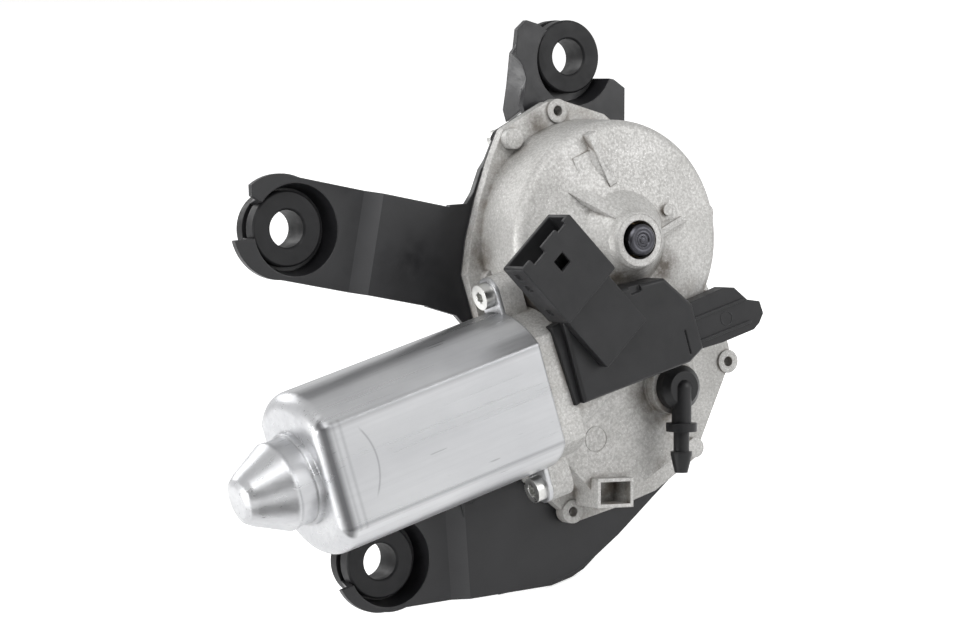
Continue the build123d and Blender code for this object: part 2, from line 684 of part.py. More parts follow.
commutator_end = block_end - wall - 0.6
commutator_start = commutator_end - commutator_length
core_end = commutator_start - coil_gap - coil_reach
core_start = core_end - core_length
with BuildPart() as armature_core:
    with BuildSketch(Plane.YZ.offset(core_start)):
        with Locations((-axis_height - datum, axis_level)):
            Circle(core_radius)
            Circle(shaft_radius + seat_gap, mode=Mode.SUBTRACT)
            with PolarLocations(core_radius - slot_depth / 2 + 0.5, core_slots):
                SlotOverall(slot_depth, slot_width, mode=Mode.SUBTRACT)
            with PolarLocations(core_radius, core_slots):
                Rectangle(slot_width, slot_width / 2, mode=Mode.SUBTRACT)
    extrude(amount=core_length)
finish(armature_core, "armature_core")

coil_radius = core_radius - coil_inset
with BuildPart() as armature_windings:
    for foot, direction in ((core_start, -1), (core_end, 1)):
        near = foot + direction * seat_gap
        far = foot + direction * coil_reach
        revolve(spun([(near, shaft_radius + 1.5), (near, coil_radius),
                      (far - direction * coil_taper * 0.75, coil_radius),
                      (far, coil_radius - coil_taper), (far, shaft_radius + 1.5)]), axis=motor_axis)
finish(armature_windings, "armature_windings")

with BuildPart() as commutator:
    revolve(spun([(commutator_start, shaft_radius + seat_gap), (commutator_start, commutator_radius + 1.5),
                  (commutator_start + 2, commutator_radius + 1.5), (commutator_start + 2, commutator_radius),
                  (commutator_end, commutator_radius), (commutator_end, shaft_radius + seat_gap)]),
            axis=motor_axis)
    with BuildSketch(Plane.YZ.offset(commutator_start)):
        with Locations((-axis_height - datum, axis_level)):
            with PolarLocations(commutator_radius, core_slots):
                Rectangle(1.2, 0.6)
    extrude(amount=commutator_length, mode=Mode.SUBTRACT)
finish(commutator, "commutator")

# Magnets on the round sides of the can
magnet_inner = core_radius + magnet_gap
magnet_outer = can_inner_radius - seat_gap
magnet_length = core_length + 4
with BuildPart() as magnets:
    for middle in (90.0, 270.0):
        with BuildSketch(Plane.YZ.offset(core_start - 2)):
            with Locations((-axis_height - datum, axis_level)):
                Circle(magnet_outer)
                Circle(magnet_inner, mode=Mode.SUBTRACT)
                Rectangle(2 * (can_inner_depth - 0.3), 3 * can_radius, mode=Mode.INTERSECT)
            with BuildLine():
                centre = (-axis_height - datum, axis_level)
                reach = 2 * can_radius
                low = radians(middle - magnet_half_angle)
                high = radians(middle + magnet_half_angle)
                Polyline(centre, (centre[0] + reach * cos(low), centre[1] + reach * sin(low)),
                         (centre[0] + reach * cos(high), centre[1] + reach * sin(high)), close=True)
            make_face(mode=Mode.INTERSECT)
        extrude(amount=magnet_length)
finish(magnets, "magnets")

# Bearings of the armature
bearing_start = neck_end + 0.5
with BuildPart() as can_bearing:
    revolve(spun([(bearing_start, shaft_radius + running_gap), (bearing_start, bearing_radius),
                  (bearing_start + bearing_length, bearing_radius),
                  (bearing_start + bearing_length, shaft_radius + running_gap)]), axis=motor_axis)
finish(can_bearing, "can_bearing")

with BuildPart() as bearing_retainer:
    revolve(spun([(bearing_start, bearing_radius + seat_gap), (bearing_start, nose_inner - seat_gap),
                  (bearing_start + bearing_length, nose_inner - seat_gap),
                  (bearing_start + bearing_length, nose_inner - seat_gap - retainer),
                  (bearing_start + retainer, nose_inner - seat_gap - retainer),
                  (bearing_start + retainer, bearing_radius + seat_gap + retainer),
                  (bearing_start + bearing_length, bearing_radius + seat_gap + retainer),
                  (bearing_start + bearing_length, bearing_radius + seat_gap)]), axis=motor_axis)
finish(bearing_retainer, "bearing_retainer")

with BuildPart() as worm_bushes:
    for bush_x in (block_end - 2.5, worm_start + worm_length + 6):
        revolve(spun([(bush_x, shaft_radius + running_gap), (bush_x, worm_bore - seat_gap),
                      (bush_x + worm_bush_length, worm_bore - seat_gap),
                      (bush_x + worm_bush_length, shaft_radius + running_gap)]), axis=motor_axis)
finish(worm_bushes, "worm_bushes")

with BuildPart() as thrust_ball:
    with BuildSketch(layer(axis_height)):
        with Locations((ball_x, axis_level)):
            Circle(ball_radius)
            with Locations((0, -ball_radius)):
                Rectangle(2 * ball_radius, 2 * ball_radius, mode=Mode.SUBTRACT)
    revolve(axis=motor_axis)
finish(thrust_ball, "thrust_ball")

with BuildPart() as thrust_screw:
    screw_back = ball_x + ball_radius + seat_gap
    revolve(spun([(screw_back, 0), (screw_back, thrust_radius), (tunnel_end, thrust_radius),
                  (tunnel_end, 1.6), (tunnel_end - 2, 1.6), (tunnel_end - 2, 0)]),
            axis=motor_axis)
finish(thrust_screw, "thrust_screw")

# Brush gear on its card
card_x = flange_x + 0.5
with BuildPart() as brush_card:
    extrude(can_section(card_x, block_radius - wall - seat_gap, block_half_depth - wall - seat_gap),
            amount=card_thickness)
    revolve(spun([(card_x - 1, 0), (card_x - 1, commutator_radius + 1.0),
                  (card_x + card_thickness + 1, commutator_radius + 1.0), (card_x + card_thickness + 1, 0)]),
            axis=motor_axis, mode=Mode.SUBTRACT)
finish(brush_card, "brush_card")

brush_start = card_x + card_thickness + holder_wall + 0.15
holder_end = block_radius - wall - 0.6
with BuildPart() as brushes:
    with BuildSketch(Plane.XY.offset(axis_level + commutator_radius + 0.1)):
        with Locations((brush_start + brush_width / 2, -axis_height - datum)):
            Rectangle(brush_width, brush_width)
    extrude(amount=brush_length)
    mirror(about=Plane.XY.offset(axis_level))
    add(brushes.part)
finish(brushes, "brushes")
with BuildPart() as brush_holders:
    with BuildSketch(Plane.XY.offset(axis_level + commutator_radius + 1.0)):
        with Locations((brush_start + brush_width / 2, -axis_height - datum)):
            Rectangle(brush_width + 2 * holder_wall + 0.2, brush_width + 2 * holder_wall + 0.2)
            Rectangle(brush_width + 0.2, brush_width + 0.2, mode=Mode.SUBTRACT)
    extrude(amount=holder_end - commutator_radius - 1.0)
    mirror(about=Plane.XY.offset(axis_level))
    add(brush_holders.part)
finish(brush_holders, "brush_holders")
spring_start = commutator_radius + 0.1 + brush_length + 0.05
with BuildPart() as brush_springs:
    with BuildSketch(Plane.XY.offset(axis_level + spring_start)):
        with Locations((brush_start + brush_width / 2, -axis_height - datum)):
            Circle(brush_spring_radius)
            Circle(brush_spring_radius - brush_spring_wire, mode=Mode.SUBTRACT)
    extrude(amount=holder_end - spring_start)
    mirror(about=Plane.XY.offset(axis_level))
    add(brush_springs.part)
finish(brush_springs, "brush_springs")

# Worm wheel on its axle, with the crank pin
tooth_angle = 360 / wheel_teeth
tooth_root = radians(tooth_angle) * 0.27
tooth_tip = radians(tooth_angle) * 0.14


def tooth_points(index):
    """One tooth of the wheel; a gap points straight down at the worm."""
    middle = radians(-90 + (index + 0.5) * tooth_angle)
    corners = [(wheel_root_radius, -tooth_root), (wheel_radius, -tooth_tip),
               (wheel_radius, tooth_tip), (wheel_root_radius, tooth_root)]
    return [(wheel_x + radius * cos(middle + shift), wheel_z + radius * sin(middle + shift))
            for radius, shift in corners]


rim_inner = wheel_root_radius - wheel_rim
web_front = axis_height + wheel_web / 2
web_back = axis_height - wheel_web / 2
with BuildPart() as worm_wheel:
    teeth = [point for index in range(wheel_teeth) for point in tooth_points(index)]
    extrude(outline(wheel_back, teeth), amount=wheel_width)
    for face_height, depth in ((wheel_front, wheel_front - web_front),
                               (wheel_back, wheel_back - web_back)):
        with BuildSketch(layer(face_height)):
            with Locations((wheel_x, wheel_z)):
                Circle(rim_inner)
                Circle(wheel_hub_radius, mode=Mode.SUBTRACT)
        extrude(amount=-depth, mode=Mode.SUBTRACT)
    extrude(disc(rod_eye, web_back, crank_pin_radius + 3), amount=-(web_back - wheel_back))
    for place, radius in (((wheel_x, wheel_z), axle_radius), (rod_eye, crank_pin_radius)):
        extrude(disc(place, wheel_back, radius + seat_gap), amount=wheel_width, mode=Mode.SUBTRACT)
finish(worm_wheel, "worm_wheel")

axle_front = boss_height + axle_proud
with BuildPart() as wheel_axle:
    revolve(turned((wheel_x, wheel_z), [
        (0, wheel_back), (axle_radius, wheel_back), (axle_radius, axle_front - 0.8),
        (axle_radius - 0.8, axle_front), (2.6, axle_front), (2.2, axle_front - 0.4),
        (1.4, axle_front - 0.4), (1.1, axle_front), (0, axle_front)]), axis=wheel_axis)
finish(wheel_axle, "wheel_axle")

thrust_washer = cavity_height - wheel_front - free_gap - seat_gap
with BuildPart() as wheel_washer:
    with BuildSketch(layer(wheel_front + free_gap)):
        with Locations((wheel_x, wheel_z)):
            Circle(wheel_hub_radius)
            Circle(axle_radius + 0.1, mode=Mode.SUBTRACT)
    extrude(amount=thrust_washer)
finish(wheel_washer, "wheel_washer")

with BuildPart() as axle_bush:
    revolve(turned((wheel_x, wheel_z), [
        (axle_radius + running_gap, cavity_height), (boss_bore - seat_gap / 2, cavity_height),
        (boss_bore - seat_gap / 2, boss_height - boss_recess),
        (axle_radius + running_gap, boss_height - boss_recess)]), axis=wheel_axis)
finish(axle_bush, "axle_bush")

with BuildPart() as crank_pin:
    revolve(turned(rod_eye, [
        (0, rod_front + free_gap), (crank_pin_radius, rod_front + free_gap),
        (crank_pin_radius, wheel_front - 0.5), (0, wheel_front - 0.5)]), axis=y_axis(rod_eye))
finish(crank_pin, "crank_pin")

# Connecting rod and lever
with BuildPart() as connecting_rod:
    extrude(bar(lever_eye, rod_eye, rod_back, rod_width), amount=rod_thickness)
    extrude(disc(lever_eye, rod_back, rod_eye_radius), amount=rod_thickness)
    extrude(disc(rod_eye, rod_back, rod_eye_radius), amount=rod_thickness)
    for eye, radius in ((lever_eye, lever_pin_radius), (rod_eye, crank_pin_radius)):
        extrude(disc(eye, rod_back, radius + running_gap), amount=rod_thickness, mode=Mode.SUBTRACT)
finish(connecting_rod, "connecting_rod")

with BuildPart() as spindle_lever:
    with BuildSketch(layer(lever_height)):
        Circle(lever_boss_radius)
        with Locations(lever_eye):
            Circle(rod_eye_radius)
        make_hull()
    extrude(amount=lever_thickness)
    for place, radius in (((0, 0), spindle_radius), (lever_eye, lever_pin_radius)):
        extrude(disc(place, lever_height, radius + seat_gap), amount=lever_thickness, mode=Mode.SUBTRACT)
finish(spindle_lever, "spindle_lever")

pin_head = chamber_height - rod_front - 0.35
with BuildPart() as lever_pin:
    extrude(disc(lever_eye, lever_height, lever_pin_radius), amount=rod_front + 0.1 - lever_height)
    extrude(disc(lever_eye, rod_front + 0.1, lever_pin_radius + 1), amount=pin_head)
finish(lever_pin, "lever_pin")

# Hollow output spindle in its tube and bushes
tube_end = -datum - tube_reach
cone_start = tube_end - spindle_shoulder
spindle_end = cone_start - knurl_length - thread_length
groove_height = tube_end - 1.4
with BuildPart() as output_spindle:
    revolve(turned((0, 0), [
        (spindle_bore, spindle_front), (spindle_radius - 0.8, spindle_front),
        (spindle_radius, spindle_front - 0.8), (spindle_radius, groove_height + 1.2),
        (spindle_radius - circlip_groove, groove_height + 1.2),
        (spindle_radius - circlip_groove, groove_height),
        (spindle_radius, groove_height), (spindle_radius, cone_start),
        (thread_radius, spindle_end + thread_length), (thread_radius, spindle_end + 0.8),
        (thread_radius - 0.8, spindle_end), (spindle_bore, spindle_end)]), axis=spindle_axis)
finish(output_spindle, "output_spindle")

with BuildPart() as spindle_tube:
    revolve(turned((0, 0), [
        (bush_radius, tube_front), (tube_flange_radius, tube_front), (tube_flange_radius, plate_front),
        (tube_radius + tube_shoulder, plate_front), (tube_radius + tube_shoulder, plate_back),
        (tube_radius, plate_back), (tube_radius, tube_end + 0.6), (tube_radius - 0.6, tube_end),
        (bush_radius, tube_end)]), axis=spindle_axis)
finish(spindle_tube, "spindle_tube")

with BuildPart() as spindle_bushes:
    for bush_front, length in ((spindle_boss_height, front_bush_length),
                               (tube_front, bush_length), (tube_end + seal_depth + bush_length, bush_length)):
        revolve(turned((0, 0), [
            (spindle_radius + running_gap, bush_front), (bush_radius - seat_gap / 2, bush_front),
            (bush_radius - seat_gap / 2, bush_front - length),
            (spindle_radius + running_gap, bush_front - length)]), axis=spindle_axis)
finish(spindle_bushes, "spindle_bushes")

seal_front = tube_end + seal_depth - seat_gap
with BuildPart() as spindle_seal:
    revolve(turned((0, 0), [
        (spindle_radius + running_gap, seal_front), (bush_radius - seat_gap, seal_front),
        (bush_radius - seat_gap, tube_end + 0.3), (spindle_radius + running_gap, tube_end + 0.3)]),
        axis=spindle_axis)
finish(spindle_seal, "spindle_seal")

with BuildPart() as spindle_circlip:
    with BuildSketch(layer(groove_height + 0.1)):
        Circle(spindle_radius + 1.8)
        Circle(spindle_radius - circlip_groove + seat_gap, mode=Mode.SUBTRACT)
        with Locations((spindle_radius, 0)):
            Rectangle(6, 4.5, mode=Mode.SUBTRACT)
    extrude(amount=1.0)
finish(spindle_circlip, "spindle_circlip")

# Connector socket, turned in its plane, with its low step
socket_plane = Plane(
    origin=(socket_centre[0], 0, socket_centre[1]),
    x_dir=(cos(radians(socket_turn)), 0, sin(radians(socket_turn))), z_dir=(0, -1, 0))
socket_back = socket_front - socket_depth
socket_inner_depth = socket_depth - 2 * socket_wall
cavity_length = socket_side - latch_room
with BuildPart() as connector_socket:
    with BuildSketch(socket_plane.offset(socket_back + datum)):
        RectangleRounded(socket_side, socket_side, 0.8)
    extrude(amount=socket_depth)
    with BuildSketch(socket_plane.offset(cover_front + datum)):
        with Locations((0.2, -socket_side / 2 - step_length / 2 + 2)):
            RectangleRounded(step_side, step_length + 4, 0.6)
    extrude(amount=socket_step_front - cover_front)
    with BuildSketch(socket_plane.offset(socket_back + datum + socket_wall)):
        with Locations((0, socket_side / 2 - cavity_length / 2)):
            Rectangle(socket_side - 2 * socket_wall, cavity_length)
    extrude(amount=socket_inner_depth, mode=Mode.SUBTRACT)
    # Keyed mouth and latch window in the front wall
    with BuildSketch(socket_plane.offset(socket_front + datum)):
        with Locations((-5.5, socket_side / 2)):
            Rectangle(6.0, 5.0)
        with Locations((7.5, socket_side / 2)):
            Rectangle(4.0, 3.0)
        with Locations((-0.3, 3.6)):
            Rectangle(4.6, 4.6)
    extrude(amount=-socket_wall, mode=Mode.SUBTRACT)
finish(connector_socket, "connector_socket")

with BuildPart() as terminals:
    terminal_back = socket_back + socket_depth / 2 - terminal_thickness / 2
    with BuildSketch(socket_plane.offset(terminal_back + datum)):
        with Locations((0, socket_side / 2 - cavity_length + terminal_length / 2)):
            with GridLocations(terminal_pitch, 1, terminal_count, 1):
                Rectangle(terminal_width, terminal_length)
    extrude(amount=terminal_thickness)
finish(terminals, "terminals")

# Cover over the wiring, with its arm along the worm tunnel
cover_points = [(-51.2, 13.3), (-6.0, 12.6), (0.6, 15.5), (0.6, 31.6), (-8.0, 43.8), (-25.0, 45.6),
                (-51.2, 42.0)]
arm_points = [(0.6, 13.8), (13.9, 12.7), (28.0, 12.8), (30.8, 14.2), (33.5, 17.0), (33.2, 21.6),
              (28.3, 23.8), (24.2, 29.6), (20.3, 31.0), (0.6, 30.2)]
cover_arm_front = 36.0
cover_arm_back = axis_height + tunnel_radius + 0.2
with BuildPart() as connector_cover:
    extrude(outline(cover_back, cover_points), amount=cover_front - cover_back)
    chamfer(connector_cover.faces().sort_by(Axis.Y)[0].edges(), length=0.8)
    with BuildSketch(layer(cover_back)):
        with BuildLine():
            Polyline(cover_points, close=True)
        make_face()
        offset(amount=-cover_wall, mode=Mode.REPLACE)
    extrude(amount=cover_front - cover_back - cover_wall, mode=Mode.SUBTRACT)
    extrude(outline(cover_arm_back, arm_points), amount=cover_arm_front - cover_arm_back)
    with BuildSketch(socket_plane.offset(socket_back + datum - 0.2)):
        Rectangle(socket_side + 0.4, socket_side + 0.4)
    extrude(amount=socket_depth, mode=Mode.SUBTRACT)
finish(connector_cover, "connector_cover")

# Hose elbow pushed on the front end of the hollow spindle
hub_back = spindle_boss_height + seat_gap
hub_front = hub_back + hub_height
hose_height = hub_back + hose_rise
down = Vector(-sin(radians(elbow_turn)), 0, -cos(radians(elbow_turn)))
hose_start = Vector(0, -hose_height - datum, 0)
hose_plane = Plane(origin=hose_start, x_dir=(0, -1, 0), z_dir=Vector(0, -1, 0).cross(down))
hose_line = Axis(hose_start, down)
with BuildPart() as hose_elbow:
    revolve(turned((0, 0), [(0, hub_back), (hub_radius, hub_back), (hub_radius, hub_front - 2.2),
                            (hub_radius - 2.2, hub_front), (0, hub_front)]), axis=spindle_axis)
    with BuildSketch(hose_plane):
        with BuildLine():
            cap = CenterArc((0, 0), tube_outer, -90, 90)
            Polyline(cap @ 1, (tube_outer, hose_flange), (tube_outer + 2, hose_flange),
                     (tube_outer + 2, hose_flange + hose_flange_thickness),
                     (hose_neck, hose_flange + hose_flange_thickness),
                     (hose_neck, nipple_start), (nipple_radius, nipple_start),
                     (nipple_radius, nipple_start + 1.2), (nipple_tip_radius, nipple_start + nipple_length),
                     (0, nipple_start + nipple_length), cap @ 0)
        make_face()
    revolve(axis=hose_line)
    revolve(turned((0, 0), [(0, hub_back), (spindle_radius + seat_gap, hub_back),
                            (spindle_radius + seat_gap, spindle_front + 0.2),
                            (hose_bore, spindle_front + 0.2), (hose_bore, hose_height + hose_bore),
                            (0, hose_height + hose_bore)]),
            axis=spindle_axis, mode=Mode.SUBTRACT)
    with BuildSketch(hose_plane):
        with BuildLine():
            Polyline((0, 0), (hose_bore, 0), (hose_bore, nipple_start + nipple_length),
                     (0, nipple_start + nipple_length), close=True)
        make_face()
    revolve(axis=hose_line, mode=Mode.SUBTRACT)
finish(hose_elbow, "hose_elbow")
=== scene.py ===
from math import cos, pi, radians, sin

import bmesh
import bpy
from mathutils import Matrix, Vector


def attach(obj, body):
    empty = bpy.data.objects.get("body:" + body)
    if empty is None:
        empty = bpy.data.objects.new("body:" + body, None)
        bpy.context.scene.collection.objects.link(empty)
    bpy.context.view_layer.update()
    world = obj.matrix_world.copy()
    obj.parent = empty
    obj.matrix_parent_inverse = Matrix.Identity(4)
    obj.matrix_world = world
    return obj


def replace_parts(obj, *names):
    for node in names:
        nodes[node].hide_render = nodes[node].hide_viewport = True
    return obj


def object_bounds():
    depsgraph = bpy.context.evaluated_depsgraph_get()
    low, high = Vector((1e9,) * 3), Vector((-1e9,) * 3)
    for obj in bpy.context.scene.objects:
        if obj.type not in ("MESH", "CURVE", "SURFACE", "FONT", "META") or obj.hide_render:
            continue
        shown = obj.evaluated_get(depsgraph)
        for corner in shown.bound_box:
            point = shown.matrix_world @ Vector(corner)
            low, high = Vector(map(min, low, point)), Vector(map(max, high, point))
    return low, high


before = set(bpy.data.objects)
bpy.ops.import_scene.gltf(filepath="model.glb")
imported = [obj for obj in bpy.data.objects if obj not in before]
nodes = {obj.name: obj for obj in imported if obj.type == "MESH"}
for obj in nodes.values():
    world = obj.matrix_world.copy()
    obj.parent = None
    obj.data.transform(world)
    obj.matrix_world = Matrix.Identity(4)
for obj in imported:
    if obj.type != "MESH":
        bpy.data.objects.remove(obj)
cad_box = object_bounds()

# Places and sizes on the motor that the finishes and the relief follow, with lengths in millimetres

datum = 3.3                        # from the height zero of the casting's flange to the frame's origin
wheel_centre = (-11.0, 58.5)
socket_centre = (-49.0, 60.7)
socket_turn = radians(28.0)
sheet_front = -0.92                # just inside the bracket's sheet, so that no two faces coincide
sheet_back = -3.2
arm_ridge_foot = 35.5
arm_ridge_crest = 36.6
joint_face_x = -62.0
can_flange = 1.5
screw_head = 3.6
screw_height = 20.5
can_axis_z = 20.5
screw_spread = 35.0
recess_lift = 0.05                 # what keeps the recess's face clear of the head's own
ring_sinks = 0.2                   # how deep a raised ring stands in its face


def spot(x, height, z):
    """A place given by x, height above the flange and z in millimetres, as metres in the frame."""
    return Vector((x, -(height + datum), z)) / 1000


# Node helpers for the finishes

def start_material(name, colour, roughness, metallic=0.0):
    """A new material with its node tree, its shader and its object coordinates."""
    material = bpy.data.materials.new(name)
    material.use_nodes = True
    tree = material.node_tree
    shader = tree.nodes["Principled BSDF"]
    shader.inputs["Base Color"].default_value = (*colour, 1.0)
    shader.inputs["Roughness"].default_value = roughness
    shader.inputs["Metallic"].default_value = metallic
    place = tree.nodes.new("ShaderNodeTexCoord")
    return material, tree, shader, place.outputs["Object"]


def calculate(tree, operation, *values):
    """A math node over sockets and numbers."""
    node = tree.nodes.new("ShaderNodeMath")
    node.operation = operation
    for socket, value in zip(node.inputs, values):
        if isinstance(value, (int, float)):
            socket.default_value = value
        else:
            tree.links.new(value, socket)
    return node.outputs["Value"]


def product(tree, *values):
    """Several factors multiplied."""
    result = values[0]
    for value in values[1:]:
        result = calculate(tree, "MULTIPLY", result, value)
    return result


def on_vectors(tree, operation, *values):
    """The outputs of a vector math node over sockets and fixed vectors."""
    node = tree.nodes.new("ShaderNodeVectorMath")
    node.operation = operation
    for socket, value in zip(node.inputs, values):
        if isinstance(value, bpy.types.NodeSocket):
            tree.links.new(value, socket)
        else:
            socket.default_value = value
    return node.outputs


def axes(tree, place):
    """The coordinates one by one."""
    split = tree.nodes.new("ShaderNodeSeparateXYZ")
    tree.links.new(place, split.inputs["Vector"])
    return split.outputs


def stretched(tree, place, scale):
    """The coordinates with each axis scaled on its own."""
    mapping = tree.nodes.new("ShaderNodeMapping")
    mapping.inputs["Scale"].default_value = scale
    tree.links.new(place, mapping.inputs["Vector"])
    return mapping.outputs["Vector"]


def noise(tree, place, scale, detail=4.0, rough=0.55):
    """A noise pattern on the coordinates."""
    pattern = tree.nodes.new("ShaderNodeTexNoise")
    pattern.inputs["Scale"].default_value = scale
    pattern.inputs["Detail"].default_value = detail
    pattern.inputs["Roughness"].default_value = rough
    tree.links.new(place, pattern.inputs["Vector"])
    return pattern.outputs["Fac"]


def remap(tree, value, low, high, to_low, to_high):
    """The value's span from low to high spread over a new span."""
    change = tree.nodes.new("ShaderNodeMapRange")
    change.inputs["From Min"].default_value = low
    change.inputs["From Max"].default_value = high
    change.inputs["To Min"].default_value = to_low
    change.inputs["To Max"].default_value = to_high
    tree.links.new(value, change.inputs["Value"])
    return change.outputs["Result"]


def above(tree, value, low, high):
    """Zero below a span in millimetres, rising to one above it."""
    return remap(tree, value, low / 1000, high / 1000, 0.0, 1.0)


def below(tree, value, low, high, full=1.0):
    """Full below a span in millimetres, falling to zero above it."""
    return remap(tree, value, low / 1000, high / 1000, full, 0.0)


def line_at(tree, value, level, core, edge, depth):
    """The depth where the value is at a level, fading to zero from core to edge, in millimetres."""
    away = calculate(tree, "ABSOLUTE", calculate(tree, "SUBTRACT", value, level / 1000))
    return below(tree, away, core, edge, depth)


def blended(tree, factor, first, second):
    """A mix of two colours given as sockets or values."""
    mix = tree.nodes.new("ShaderNodeMix")
    mix.data_type = "RGBA"
    for socket, value in (("Factor", factor), ("A", first), ("B", second)):
        if isinstance(value, tuple):
            mix.inputs[socket].default_value = (*value, 1.0)
        else:
            tree.links.new(value, mix.inputs[socket])
    return mix.outputs["Result"]


def rounded_normal(tree, radius, samples):
    """The surface's direction with its edges rounded by a small radius."""
    rounded = tree.nodes.new("ShaderNodeBevel")
    rounded.samples = samples
    rounded.inputs["Radius"].default_value = radius
    return rounded.outputs["Normal"]


def soft_edges(tree, shader, height, strength, distance, edge=0.0):
    """Surface relief from a height pattern, over edges rounded by a small radius."""
    bump = tree.nodes.new("ShaderNodeBump")
    bump.inputs["Strength"].default_value = strength
    bump.inputs["Distance"].default_value = distance
    tree.links.new(height, bump.inputs["Height"])
    if edge:
        tree.links.new(rounded_normal(tree, edge, samples=4), bump.inputs["Normal"])
    tree.links.new(bump.outputs["Normal"], shader.inputs["Normal"])


def crevices(tree, distance, low, high):
    """One in narrow recesses, zero on open faces."""
    recess = tree.nodes.new("ShaderNodeAmbientOcclusion")
    recess.samples = 8
    recess.inputs["Distance"].default_value = distance
    return remap(tree, recess.outputs["AO"], low, high, 1.0, 0.0)


def near(tree, place, centre, inner, outer):
    """One within the inner distance of a point, fading to zero at the outer one."""
    return below(tree, on_vectors(tree, "DISTANCE", place, spot(*centre))["Value"], inner, outer)


# Finishes

# Of each dark spot, painting brown stains and, between the boss, the socket and the cover, a painted
# shadow: its centre, the distance within which it is full, where it ends, and its depth
stains_and_painted_shadows = [
    ((-27.5, 29.5, 56.0), 3.5, 9.0, 0.75),
    ((-19.0, 33.0, 46.0), 2.0, 8.0, 0.9),
    ((1.5, 30.0, 45.0), 2.5, 8.5, 0.9),
    ((-7.0, 14.5, -8.0), 2.0, 7.0, 0.5),
    ((-11.5, 14.5, 0.0), 1.5, 6.5, 0.6),
    ((-9.9, 14.5, -27.4), 1.0, 5.5, 0.6),
    ((-52.0, 4.0, 66.0), 3.0, 10.0, 0.6),
    ((-18.0, 4.5, 103.0), 1.5, 6.0, 0.7),
]


def cast_aluminium():
    """Die-cast skin: speckled grain, cloudy flow marks, brown stains low in the recesses, dark spots of
    stain and painted shadow, and painted shade in the corners.
    """
    pale_skin = (0.6, 0.595, 0.58)
    grey_skin = (0.44, 0.435, 0.42)
    speck = (0.22, 0.21, 0.2)
    glint = (0.85, 0.85, 0.84)
    brown = (0.17, 0.135, 0.1)
    dirt_and_painted_shadow = (0.075, 0.06, 0.045)
    painted_corner_shade = (0.09, 0.08, 0.07)
    material, tree, shader, place = start_material("cast_aluminium", grey_skin, 0.45, 0.3)
    clouds = remap(tree, noise(tree, place, 45, 6), 0.35, 0.68, 0.0, 1.0)
    skin = blended(tree, clouds, pale_skin, grey_skin)
    speckle = remap(tree, noise(tree, place, 1100, 3, 0.6), 0.36, 0.62, 0.0, 1.0)
    skin = blended(tree, product(tree, speckle, 0.42), skin, speck)
    glints = remap(tree, noise(tree, place, 1900, 2, 0.5), 0.62, 0.72, 0.0, 0.6)
    skin = blended(tree, glints, skin, glint)
    patches = remap(tree, noise(tree, place, 150, 5), 0.42, 0.64, 0.0, 0.85)
    skin = blended(tree, product(tree, patches, crevices(tree, 0.011, 0.35, 0.85)), skin, brown)
    ragged = remap(tree, noise(tree, place, 320, 4), 0.3, 0.6, 0.35, 1.0)
    # Dark spots: brown stains, and a painted shadow below the boss where the connector shades the casting
    for centre, inner, outer, depth in stains_and_painted_shadows:
        stain_and_painted_shadow = product(tree, near(tree, place, centre, inner, outer), ragged, depth)
        skin = blended(tree, stain_and_painted_shadow, skin, dirt_and_painted_shadow)
    # Painted shade: the casting darkened in its narrow corners and recesses
    skin = blended(tree, product(tree, crevices(tree, 0.004, 0.2, 0.8), 0.6), skin, painted_corner_shade)
    tree.links.new(skin, shader.inputs["Base Color"])
    tree.links.new(remap(tree, speckle, 0.0, 1.0, 0.4, 0.6), shader.inputs["Roughness"])
    soft_edges(tree, shader, noise(tree, place, 1300, 5, 0.7), strength=0.55, distance=0.0002, edge=0.0006)
    return material


# The can's marks and its painted dark reflection, in millimetres; each pair of y or x is where a change of
# tone begins and ends
flat_front = (-45.5, -45.0)
shoulder_front = (-43.5, -42.5)
strip_begins = (-150.2, -147.8)
strip_ends = (-146.8, -144.6)
press_lines = (-144.0, -141.5)
press_arc_centre = (-152.0, 43.0, 22.5)
press_arc_radius = 20.5
press_arc_begins = (-135.5, -134.0)
flat_borders = ((3.4, 0.9, 0.5), (37.4, 1.4, 0.35))     # z, half width and depth of tone


def with_press_marks(tree, place, tone, front):
    """The tone with two lines, two borders and an arc that the press leaves on the flat front."""
    press_mark = (0.2, 0.2, 0.21)
    along = axes(tree, place)
    for level in press_lines:
        line = line_at(tree, along["X"], level, core=0.1, edge=0.9, depth=0.28)
        tone = blended(tree, product(tree, line, front), tone, press_mark)
    for level, half, depth in flat_borders:
        line = line_at(tree, along["Z"], level, core=0.0, edge=half, depth=depth)
        tone = blended(tree, product(tree, line, front), tone, press_mark)
    reach = on_vectors(tree, "DISTANCE", place, spot(*press_arc_centre))["Value"]
    arc = line_at(tree, reach, press_arc_radius, core=0.1, edge=0.5, depth=0.5)
    seen_part = product(tree, arc, front, above(tree, along["X"], *press_arc_begins))
    return blended(tree, seen_part, tone, press_mark)


